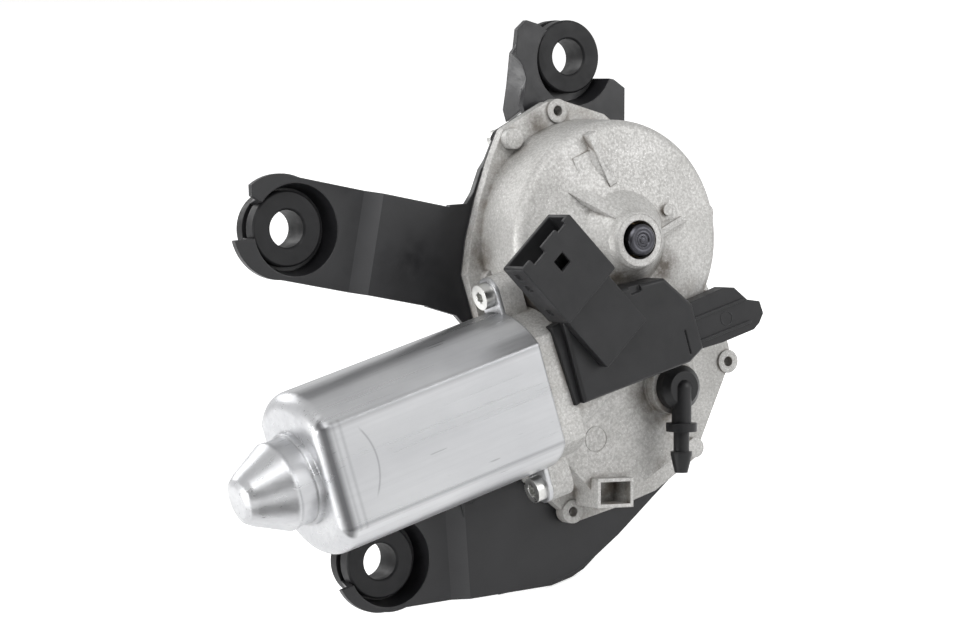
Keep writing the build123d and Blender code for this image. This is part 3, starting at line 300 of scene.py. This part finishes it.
def drawn_steel():
    """Bright steel with streaks along the can, duller on its flat front, with press marks, painted shade
    in its corners and a painted dark reflection across its end.
    """
    bright = (0.63, 0.635, 0.645)
    clouded = (0.52, 0.525, 0.54)
    streak = (0.4, 0.405, 0.42)
    scratch = (0.18, 0.18, 0.19)
    corner = (0.12, 0.12, 0.125)
    dull_front = (0.42, 0.425, 0.435)
    end_shade = (0.09, 0.09, 0.095)
    material, tree, shader, place = start_material("drawn_steel", bright, 0.36, 0.86)
    along = axes(tree, place)
    streaks = noise(tree, stretched(tree, place, (5, 420, 420)), 1.0, 6, 0.7)
    clouds = noise(tree, stretched(tree, place, (30, 70, 70)), 1.0, 5)
    marks = noise(tree, stretched(tree, place, (60, 900, 900)), 1.0, 2, 0.4)
    tone = blended(tree, remap(tree, clouds, 0.32, 0.68, 0.0, 1.0), bright, clouded)
    tone = blended(tree, remap(tree, streaks, 0.5, 0.75, 0.0, 0.35), tone, streak)
    tone = blended(tree, remap(tree, marks, 0.73, 0.76, 0.0, 0.7), tone, scratch)
    # Painted shade: the steel darkened in its narrow corners and recesses
    tone = blended(tree, product(tree, crevices(tree, 0.003, 0.2, 0.75), 0.7), tone, corner)
    front = below(tree, along["Y"], *flat_front)
    tone = blended(tree, product(tree, front, 0.5), tone, dull_front)
    tone = with_press_marks(tree, place, tone, front)
    # Painted dark reflection: a dark strip on the front of the fillet near the can's end
    strip = product(tree, above(tree, along["X"], *strip_begins),
                    below(tree, along["X"], *strip_ends), below(tree, along["Y"], *shoulder_front))
    tone = blended(tree, product(tree, strip, 0.85), tone, end_shade)
    tree.links.new(tone, shader.inputs["Base Color"])
    tree.links.new(remap(tree, streaks, 0.3, 0.7, 0.24, 0.4), shader.inputs["Roughness"])
    soft_edges(tree, shader, streaks, strength=0.16, distance=0.0001, edge=0.0012)
    return material


def plain_finish(name, colour, roughness, metallic=0.0, grain=1200, relief=0.1, edge=0.0, shine=0.5,
                 rim=0.0):
    """A moulded, coated or sintered surface: mottling, fine grain, soft edges and rims painted paler as a
    highlight.
    """
    roughness_spread = 0.08
    painted_rim_highlight = (0.16, 0.16, 0.165)
    material, tree, shader, place = start_material(name, colour, roughness, metallic)
    shader.inputs["Specular IOR Level"].default_value = shine
    mottle = remap(tree, noise(tree, place, 90), 0.3, 0.7, 0.0, 1.0)
    darker = tuple(part * 0.82 for part in colour)
    lighter = tuple(min(1.0, part * 1.12) for part in colour)
    tone = blended(tree, mottle, lighter, darker)
    polish = remap(tree, noise(tree, place, 260), 0.3, 0.7, roughness - roughness_spread,
                   roughness + roughness_spread)
    tree.links.new(polish, shader.inputs["Roughness"])
    soft_edges(tree, shader, noise(tree, place, grain), relief, 0.0001, edge)
    # Painted highlight: the rims made paler where the rounded normal turns away from the true one
    if rim:
        surface = tree.nodes.new("ShaderNodeNewGeometry")
        likeness = on_vectors(tree, "DOT_PRODUCT", rounded_normal(tree, 0.0004, samples=6),
                              surface.outputs["True Normal"])["Value"]
        tone = blended(tree, remap(tree, likeness, 0.72, 0.96, rim, 0.0), tone, painted_rim_highlight)
    tree.links.new(tone, shader.inputs["Base Color"])
    return material


def turned_face(name, colour, centre):
    """Dark steel with the rings that a lathe leaves about an axis along Y."""
    ring_spacing = 0.0012
    worn = (0.05, 0.05, 0.055)
    material, tree, shader, place = start_material(name, colour, 0.36, 1.0)
    shifted = on_vectors(tree, "SUBTRACT", place, spot(centre[0], 0, centre[1]))["Vector"]
    square_to_axis = on_vectors(tree, "MULTIPLY", shifted, (1, 0, 1))["Vector"]
    radius = on_vectors(tree, "LENGTH", square_to_axis)["Value"]
    rings = calculate(tree, "SINE", product(tree, radius, 2 * pi / ring_spacing))
    tone = blended(tree, remap(tree, rings, -1.0, 1.0, 0.0, 1.0), colour,
                   tuple(1.5 * part for part in colour))
    tone = blended(tree, remap(tree, noise(tree, place, 500), 0.5, 0.7, 0.0, 0.6), tone, worn)
    tree.links.new(tone, shader.inputs["Base Color"])
    soft_edges(tree, shader, rings, strength=0.25, distance=0.0001, edge=0.0003)
    return material


finishes = {
    "cast_aluminium": cast_aluminium(),
    "can_steel": drawn_steel(),
    "black_steel": plain_finish("black_coat", (0.013, 0.013, 0.0145), 0.36, grain=900, relief=0.12,
                                edge=0.0006, shine=0.4, rim=0.35),
    "rubber": plain_finish("grommet_rubber", (0.012, 0.012, 0.013), 0.5, grain=1600, relief=0.2,
                           edge=0.0005, shine=0.26),
    "gasket": plain_finish("gasket_rubber", (0.04, 0.04, 0.04), 0.75),
    "black_plastic": plain_finish("black_plastic", (0.016, 0.016, 0.0172), 0.46, grain=2200, relief=0.18,
                                  edge=0.0004, shine=0.3, rim=0.55),
    "hose_plastic": plain_finish("hose_plastic", (0.008, 0.008, 0.009), 0.42, grain=2200, relief=0.18,
                                 edge=0.0004, shine=0.35),
    "zinc": plain_finish("zinc_plate", (0.68, 0.68, 0.66), 0.32, 1.0, edge=0.0003),
    "shaft_steel": plain_finish("turned_steel", (0.2, 0.2, 0.22), 0.34, 1.0, edge=0.0003),
    "axle_steel": turned_face("axle_steel", (0.055, 0.055, 0.062), wheel_centre),
    # Painted shade: the terminals made near-black, as they look in the shade inside the socket
    "terminals_in_painted_shade": plain_finish("terminals_in_painted_shade", (0.06, 0.06, 0.06), 0.4, 0.9),
    "core_steel": plain_finish("core_steel", (0.16, 0.16, 0.17), 0.5, 0.8),
    "bronze": plain_finish("sintered_bronze", (0.55, 0.4, 0.22), 0.42, 1.0),
    "copper": plain_finish("copper", (0.6, 0.28, 0.15), 0.35, 1.0),
    "ferrite": plain_finish("ferrite", (0.06, 0.06, 0.065), 0.6),
    "carbon": plain_finish("carbon", (0.03, 0.03, 0.03), 0.55),
    "wheel_plastic": plain_finish("wheel_plastic", (0.8, 0.78, 0.7), 0.42),
}
for node in nodes.values():
    for slot in node.material_slots:
        slot.material = finishes[slot.material.name]
nodes["wheel_axle"].material_slots[0].material = finishes["axle_steel"]
nodes["terminals"].material_slots[0].material = finishes["terminals_in_painted_shade"]


# Mesh helpers

smooth_below = radians(32)         # edges flatter than this are shaded smooth


def prism(solid, points, low, high):
    """A closed outline of x and z, in millimetres, as a prism between two heights."""
    backs = [solid.verts.new(spot(x, low, z)) for x, z in points]
    fronts = [solid.verts.new(spot(x, high, z)) for x, z in points]
    solid.faces.new(backs)
    solid.faces.new(fronts)
    join_rings(solid, backs, fronts)


def join_rings(solid, first, second):
    """Faces between two closed rings of as many corners."""
    for index in range(len(first)):
        after = (index + 1) % len(first)
        solid.faces.new((first[index], first[after], second[after], second[index]))


def shaded(mesh):
    """The mesh with flat faces flat and round ones smooth."""
    mesh.shade_smooth()
    mesh.set_sharp_from_angle(angle=smooth_below)


def in_scene(name, mesh):
    """A new object of the mesh, in the scene."""
    piece = bpy.data.objects.new(name, mesh)
    bpy.context.scene.collection.objects.link(piece)
    return piece


def as_object(name, solid, material):
    """An object of a bmesh, with its faces outward and its finish on."""
    bmesh.ops.recalc_face_normals(solid, faces=solid.faces)
    mesh = bpy.data.meshes.new(name)
    solid.to_mesh(mesh)
    solid.free()
    shaded(mesh)
    mesh.materials.append(finishes[material])
    return in_scene(name, mesh)


def baked(piece):
    """The piece with its modifiers taken into its mesh."""
    bpy.context.view_layer.update()
    graph = bpy.context.evaluated_depsgraph_get()
    mesh = bpy.data.meshes.new_from_object(piece.evaluated_get(graph))
    piece.modifiers.clear()
    piece.data = mesh
    return piece


def finish_edges(piece, width):
    """Sharp edges rounded by a width in millimetres, or left sharp at zero, and flat faces kept flat."""
    if width:
        bevel = piece.modifiers.new("edges", "BEVEL")
        bevel.width = width / 1000
        bevel.segments = 2
        bevel.limit_method = "ANGLE"
        bevel.angle_limit = radians(38)
    piece.modifiers.new("flat_faces", "WEIGHTED_NORMAL").keep_sharp = True
    return baked(piece)


# The bracket and the plastics again, each as one surface with small cuts and finished edges

def dressed(node, material, cuts, edge):
    """A copy of a node as one surface, with outlines cut into it, in place of the node."""
    solid = bmesh.new()
    solid.from_mesh(nodes[node].data)
    bmesh.ops.remove_doubles(solid, verts=solid.verts, dist=1e-6)
    bmesh.ops.dissolve_limit(
        solid, angle_limit=radians(0.6), verts=solid.verts, edges=solid.edges, delimit={"NORMAL"})
    piece = as_object(node + "_dressed", solid, material)
    if cuts:
        tool = bmesh.new()
        for points, low, high in cuts:
            prism(tool, points, low, high)
        knife = as_object(node + "_cuts", tool, material)
        carve = piece.modifiers.new("cuts", "BOOLEAN")
        carve.object = knife
        carve.operation = "DIFFERENCE"
        carve.solver = "EXACT"
        baked(piece)
        bpy.data.objects.remove(knife)
        shaded(piece.data)
    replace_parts(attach(finish_edges(piece, edge), "housing"), node)


def rectangle(x_low, x_high, z_low, z_high):
    """The outline of a rectangle in x and z."""
    return [(x_low, z_low), (x_high, z_low), (x_high, z_high), (x_low, z_high)]


def on_socket(points):
    """Points of the connector's own turned plane, in x and z."""
    across, along = cos(socket_turn), sin(socket_turn)
    return [(socket_centre[0] + u * across - v * along, socket_centre[1] + u * along + v * across)
            for u, v in points]


cover_cuts = [
    (rectangle(-5.6, -5.0, 15.3, 24.0), 43.3, 45.0),
    (rectangle(-22.6, -18.2, 42.6, 47.0), 42.6, 45.0),
    (rectangle(-50.0, -46.0, 10.0, 13.9), 38.0, 41.0),
]
nick_half = 1.0
notch_half = 1.4
socket_cuts = []
for u in (-7.4, -0.6, 6.2):
    nick = [(u - nick_half, -13.0), (u + nick_half, -13.0), (u, -15.2)]
    socket_cuts.append((on_socket(nick), 47.2, 49.0))
for v in (-8.0, 3.5, 9.0):
    notch = rectangle(-14.0, -12.2, v - notch_half, v + notch_half)
    socket_cuts.append((on_socket(notch), 44.5, 47.5))
cup_corner_cut = [([(19.8, 109.0), (30.0, 104.0), (30.0, 116.5), (21.2, 116.5)], -3.0, -18.0)]

dressed("connector_cover", "black_plastic", cover_cuts, 0.3)
dressed("connector_socket", "black_plastic", socket_cuts, 0.3)
dressed("bracket", "black_steel", cup_corner_cut, 0)
dressed("hose_elbow", "hose_plastic", [], 0.25)


# Cast ribs on the dome

rib_steep_foot = 0.9               # beside the rib's line, as shares of its width
rib_steep_shoulder = 0.25
rib_soft_shoulder = 0.5
rib_steep_drop = 0.4               # below the crest, in millimetres
rib_soft_drop = 0.2
rib_root = 2.0                     # how deep the steep flank stands in the casting


def cast_rib(name, start, end, crest, steep_side, spread):
    """A rib along a line: one flank steep, the other spreading softly into the face."""
    along = Vector((end[0] - start[0], 0, end[1] - start[1]))
    across = Vector((-along.z, 0, along.x)).normalized()
    solid = bmesh.new()
    sections = []
    for part, foot, top, width in crest:
        middle = Vector((start[0], 0, start[1])) + along * part
        steep_width = steep_side * width
        corners = (
            (rib_steep_foot * steep_width, foot - rib_root),
            (rib_steep_shoulder * steep_width, top - rib_steep_drop),
            (0, top),
            (-rib_soft_shoulder * steep_width, top - rib_soft_drop),
            (-spread * steep_width, foot),
        )
        sections.append([
            solid.verts.new(spot(middle.x + out * across.x, height, middle.z + out * across.z))
            for out, height in corners])
    for first, second in zip(sections, sections[1:]):
        join_rings(solid, first, second)
    solid.faces.new(sections[0])
    solid.faces.new(sections[-1])
    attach(as_object(name, solid, "cast_aluminium"), "housing")


# Of each section of a rib: its share of the way, its foot, its crest and how wide it is
left_crest = [(0.0, 28.2, 28.5, 0.3), (0.25, 28.4, 30.6, 0.8), (0.5, 28.9, 32.6, 1.0),
              (0.8, 29.4, 35.0, 1.0), (1.0, 30.0, 36.6, 0.8)]
right_crest = [(0.0, 28.2, 28.4, 0.3), (0.35, 28.4, 31.0, 0.9), (0.7, 29.0, 34.2, 1.0),
               (1.0, 30.0, 37.0, 1.0)]
rim_crest = [(0.0, 26.5, 27.4, 0.5), (0.2, 26.8, 30.4, 1.0), (0.55, 27.9, 30.6, 0.9),
             (1.0, 28.6, 28.8, 0.3)]
cast_rib("rib_left_of_boss", (-27.4, 80.6), (-16.5, 67.9), left_crest, steep_side=-1, spread=6.5)
cast_rib("rib_right_of_boss", (17.4, 56.4), (-1.5, 56.6), right_crest, steep_side=1, spread=4.5)
cast_rib("rib_toward_the_rim", (-13.4, 94.8), (-8.2, 76.8), rim_crest, steep_side=1, spread=5.0)


# Raised rings and screw recesses, grown by geometry nodes on given places

def node_tree(name, sizes):
    """A geometry tree with its places, named sizes and finish going in and a mesh coming out."""
    tree = bpy.data.node_groups.new(name, "GeometryNodeTree")
    tree.interface.new_socket("Places", in_out="INPUT", socket_type="NodeSocketGeometry")
    for label, value in sizes.items():
        kind = "NodeSocketInt" if isinstance(value, int) else "NodeSocketFloat"
        tree.interface.new_socket(label, in_out="INPUT", socket_type=kind).default_value = value
    tree.interface.new_socket("Finish", in_out="INPUT", socket_type="NodeSocketMaterial")
    tree.interface.new_socket("Mesh", in_out="OUTPUT", socket_type="NodeSocketGeometry")
    return tree, tree.nodes.new("NodeGroupInput").outputs, tree.nodes.new("NodeGroupOutput").inputs


def step(tree, kind, inputs, **settings):
    """The first output of a new geometry node, with its inputs linked or set."""
    node = tree.nodes.new("GeometryNode" + kind)
    for setting, value in settings.items():
        setattr(node, setting, value)
    for label, value in inputs.items():
        sources = value if isinstance(value, list) else [value]
        for source in sources:
            if isinstance(source, bpy.types.NodeSocket):
                tree.links.new(source, node.inputs[label])
            else:
                node.inputs[label].default_value = source
    return node.outputs[0]


def on_every_place(tree, given, result, shape, rotation):
    """The shape turned, set on each place, made real and painted."""
    turned = step(tree, "Transform", {"Geometry": shape, "Rotation": rotation})
    copies = step(tree, "InstanceOnPoints", {"Points": given["Places"], "Instance": turned})
    real = step(tree, "RealizeInstances", {"Geometry": copies})
    painted = step(tree, "SetMaterial", {"Geometry": real, "Material": given["Finish"]})
    tree.links.new(painted, result["Mesh"])


def raised_rings():
    """Low rings on a face square to Y, their section swept round a circle."""
    sizes = {"Radius": 0.004, "Foot Width": 0.0005, "Crest Width": 0.0002, "Height": 0.0004,
             "Steps": 64}
    tree, given, result = node_tree("raised_rings", sizes)
    path = step(tree, "CurvePrimitiveCircle",
                {"Resolution": given["Steps"], "Radius": given["Radius"]})
    section = step(tree, "CurvePrimitiveQuadrilateral",
                   {"Height": given["Height"], "Bottom Width": given["Foot Width"],
                    "Top Width": given["Crest Width"], "Offset": 0.0}, mode="TRAPEZOID")
    swept = step(tree, "CurveToMesh", {"Curve": path, "Profile Curve": section})
    on_every_place(tree, given, result, swept, (-pi / 2, 0, 0))
    return tree


def screw_recesses():
    """Six-lobed recesses with the face round them, for screws that point along X."""
    sizes = {"Face Radius": 0.0025, "Lobe Radius": 0.0024, "Valley Radius": 0.0016,
             "Rounding": 0.0004, "Depth": 0.0019, "Lobes": 6, "Steps": 72}
    tree, given, result = node_tree("screw_recesses", sizes)
    rim = step(tree, "CurvePrimitiveCircle",
               {"Resolution": given["Steps"], "Radius": given["Face Radius"]})
    star = step(tree, "CurveStar", {"Points": given["Lobes"], "Inner Radius": given["Valley Radius"],
                                    "Outer Radius": given["Lobe Radius"]})
    lobes = step(tree, "FilletCurve", {"Curve": star, "Count": 4, "Radius": given["Rounding"]},
                 mode="POLY")
    both = step(tree, "JoinGeometry", {"Geometry": [rim, lobes]})
    face = step(tree, "FillCurve", {"Curve": both}, mode="TRIANGLES")
    opening = step(tree, "FillCurve", {"Curve": lobes}, mode="NGONS")
    inward = calculate(tree, "MULTIPLY", given["Depth"], -1.0)
    pocket = step(tree, "ExtrudeMesh",
                  {"Mesh": opening, "Offset Scale": inward, "Individual": False})
    whole = step(tree, "JoinGeometry", {"Geometry": [face, pocket]})
    welded = step(tree, "MergeByDistance", {"Geometry": whole, "Distance": 0.000002})
    on_every_place(tree, given, result, welded, (0, -pi / 2, 0))
    return tree


def grown(name, tree, places, sizes, material, closed=True):
    """What a geometry tree makes on the places, as a plain mesh that rides the housing."""
    mesh = bpy.data.meshes.new(name)
    mesh.from_pydata(places, [], [])
    piece = in_scene(name, mesh)
    growth = piece.modifiers.new("growth", "NODES")
    growth.node_group = tree
    values = {**sizes, "Finish": finishes[material]}
    for item in tree.interface.items_tree:
        if item.in_out == "INPUT" and item.name in values:
            growth[item.identifier] = values[item.name]
    baked(piece)
    piece.data.materials.clear()
    piece.data.materials.append(finishes[material])
    if closed:
        solid = bmesh.new()
        solid.from_mesh(piece.data)
        bmesh.ops.recalc_face_normals(solid, faces=solid.faces)
        solid.to_mesh(piece.data)
        solid.free()
    shaded(piece.data)
    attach(piece, "housing")


def ring_on_face(name, centre, face, radius, foot, crest, height, material, steps=64):
    """A raised ring on a face at a height, all in millimetres."""
    sizes = {"Radius": radius / 1000, "Foot Width": foot / 1000, "Crest Width": crest / 1000,
             "Height": height / 1000, "Steps": steps}
    seat = spot(centre[0], face - ring_sinks + height / 2, centre[1])
    grown(name, ring_tree, [seat], sizes, material)


ring_tree = raised_rings()
ring_on_face("ejector_mark_low", (-33.5, -8.0), 14.5, 4.4, 0.5, 0.25, 0.34, "cast_aluminium")
ring_on_face("cover_arm_mark", (17.8, 20.3), 36.0, 2.4, 0.45, 0.22, 0.36, "black_plastic")
ring_on_face("boss_step", wheel_centre, 39.5, 9.0, 0.5, 0.25, 0.32, "cast_aluminium", steps=96)


# Low forms on the cover's arm and the dome, and fills in the bracket's sheet

def low_form(name, points, low, high, material, edge=0.0):
    """A flat form of an outline in x and z, between two heights."""
    solid = bmesh.new()
    prism(solid, points, low, high)
    piece = as_object(name, solid, material)
    if edge:
        finish_edges(piece, edge)
    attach(piece, "housing")


ridge_high = [(0.4, 24.0), (26.2, 23.9), (26.8, 24.4), (26.2, 24.9), (0.4, 25.0)]
ridge_low = [(0.4, 15.6), (26.8, 15.5), (27.6, 16.1), (26.8, 16.6), (0.4, 16.7)]
pad = [(-21.9, 91.0), (-21.2, 84.0), (-16.5, 84.0), (-13.4, 92.0)]
edge_fill = [(-58.6, -54.6), (-57.5, -55.75), (-48.7, -55.9), (-43.2, -54.9), (-37.7, -52.6),
             (-40.0, -49.0), (-57.0, -50.0)]
web_fill = [(-84.0, -20.0), (-83.5, -13.0), (-79.0, -11.5), (-70.0, -13.0), (-70.0, -20.0)]
side_wall = [(-54.8, 41.6), (-53.2, 12.9), (-50.8, 13.4), (-50.8, 42.0)]
low_form("cover_arm_ridge_high", ridge_high, arm_ridge_foot, arm_ridge_crest, "black_plastic", 0.12)
low_form("cover_arm_ridge_low", ridge_low, arm_ridge_foot, arm_ridge_crest, "black_plastic", 0.12)
low_form("dome_pad", pad, 27.0, 28.35, "cast_aluminium", 0.3)
low_form("bracket_edge_fill", edge_fill, sheet_back, sheet_front, "black_steel")
low_form("bracket_web_fill", web_fill, sheet_back, sheet_front, "black_steel")
low_form("cover_side_wall", side_wall, 36.0, 41.2, "black_plastic", 0.3)

recess_x = joint_face_x - can_flange - screw_head + recess_lift
screw_faces = [
    spot(recess_x, screw_height, can_axis_z + side * screw_spread) for side in (1, -1)]
grown("screw_recesses", screw_recesses(), screw_faces, {}, "zinc", closed=False)


# Light: the world's fill and reflections, the floor and four lamps

def light_path(tree, *rays):
    """One on the named kinds of ray, else zero."""
    path = tree.nodes.new("ShaderNodeLightPath")
    value = path.outputs[rays[0]]
    for ray in rays[1:]:
        value = calculate(tree, "MAXIMUM", value, path.outputs[ray])
    return value


fill_level = 0.42
horizon_level = 0.85
zenith_level = 0.58
dark_side = (-0.73, -0.68, 0.0)    # where the studio is dark to polished metal
dark_level = 0.1


def studio_world():
    """A soft fill, paler near the horizon to polished metal, and white behind the motor."""
    world = bpy.data.worlds.new("studio")
    bpy.context.scene.world = world
    world.use_nodes = True
    tree = world.node_tree
    sky = tree.nodes["Background"]
    sky.inputs["Color"].default_value = (1, 1, 1, 1)
    heading = tree.nodes.new("ShaderNodeTexCoord").outputs["Generated"]
    toward_dark = on_vectors(tree, "DOT_PRODUCT", heading, dark_side)["Value"]
    ceiling = remap(tree, axes(tree, heading)["Z"], 0.15, 0.7, horizon_level, zenith_level)
    shade = remap(tree, toward_dark, 0.74, 0.92, 1.0, dark_level)
    mirrored = product(tree, light_path(tree, "Is Glossy Ray"), ceiling, shade)
    fill = product(tree, light_path(tree, "Is Diffuse Ray"), fill_level)
    backdrop = light_path(tree, "Is Camera Ray", "Is Transmission Ray")
    lit = calculate(tree, "MAXIMUM", mirrored, fill)
    tree.links.new(calculate(tree, "MAXIMUM", lit, backdrop), sky.inputs["Strength"])


# The floor, in metres, with its levels of glow to the camera and in reflections
floor_level = cad_box[0][2] - 0.0005
floor_reach = 20
floor_colour = (0.86, 0.86, 0.86)
floor_glow_seen = 0.62
near_glow_edge = (0.14, 0.32)      # distance from the frame's origin
near_glow_levels = (0.5, 0.1)
rear_glow_edge = (0.08, 0.3)       # y
rear_glow_level = 0.5
patch_colour = (0.05, 0.05, 0.05)
patch_place = (-0.215, -0.1)       # a dark patch that only reflections show, for the nose of the can
patch_edge = (0.035, 0.075)


def floor_paint():
    """Pale paint whose glow differs between the camera's view and reflections."""
    material, tree, shader, place = start_material("floor_paint", floor_colour, 0.9)
    glossy = light_path(tree, "Is Glossy Ray")
    from_origin = on_vectors(tree, "LENGTH", place)["Value"]
    from_patch = on_vectors(tree, "DISTANCE", place, (*patch_place, floor_level))["Value"]
    patch = remap(tree, from_patch, *patch_edge, 1.0, 0.0)
    beside_patch = calculate(tree, "SUBTRACT", 1.0, patch)
    near_glow = remap(tree, from_origin, *near_glow_edge, *near_glow_levels)
    rear_glow = remap(tree, axes(tree, place)["Y"], *rear_glow_edge, 0.0, rear_glow_level)
    mirrored = product(tree, glossy, beside_patch, calculate(tree, "ADD", near_glow, rear_glow))
    seen = product(tree, light_path(tree, "Is Camera Ray"), floor_glow_seen)
    shader.inputs["Emission Color"].default_value = (1, 1, 1, 1)
    tree.links.new(calculate(tree, "ADD", seen, mirrored), shader.inputs["Emission Strength"])
    tone = blended(tree, product(tree, glossy, patch), floor_colour, patch_colour)
    tree.links.new(tone, shader.inputs["Base Color"])
    return material


def studio_floor():
    """A wide floor just under the motor."""
    mesh = bpy.data.meshes.new("floor")
    corners = [(x * floor_reach, y * floor_reach, floor_level)
               for x, y in ((-1, -1), (1, -1), (1, 1), (-1, 1))]
    mesh.from_pydata(corners, [], [(0, 1, 2, 3)])
    mesh.materials.append(floor_paint())
    in_scene("floor", mesh)


def area_light(name, place, size, energy):
    """A square lamp aimed at the middle of the motor, with its place and size in metres."""
    motor_middle = Vector((-0.05, -0.03, 0.03))
    lamp = bpy.data.lights.new(name, "AREA")
    lamp.shape = "SQUARE"
    lamp.size = size
    lamp.energy = energy
    holder = bpy.data.objects.new(name, lamp)
    holder.location = place
    holder.rotation_euler = (motor_middle - Vector(place)).to_track_quat("-Z", "Y").to_euler()
    bpy.context.scene.collection.objects.link(holder)


studio_world()
studio_floor()
area_light("key", (-0.45, -1.0, 1.3), 0.9, 12)
area_light("side", (1.0, -1.15, 0.3), 0.8, 9)
area_light("rear", (-0.3, 1.2, 0.9), 0.8, 5)
area_light("left", (-1.45, 0.1, 0.12), 0.6, 17)

bpy.context.scene.view_settings.view_transform = "Standard"


# Camera, fitted to the photograph

camera_place = (-0.55043, -0.90229, 0.24218)
camera_right = Vector((0.822568, -0.507342, -0.256876))
camera_back = Vector((-0.471763, -0.861033, 0.189899))
camera_up = camera_back.cross(camera_right)

camera_data = bpy.data.cameras.new("camera")
camera_data.sensor_width = 36.0
camera_data.lens = 112.5
camera_data.clip_end = 100.0
camera = bpy.data.objects.new("camera", camera_data)
camera_turn = Matrix((camera_right, camera_up, camera_back)).transposed().to_4x4()
camera.matrix_world = Matrix.Translation(camera_place) @ camera_turn
bpy.context.scene.collection.objects.link(camera)
bpy.context.scene.camera = camera
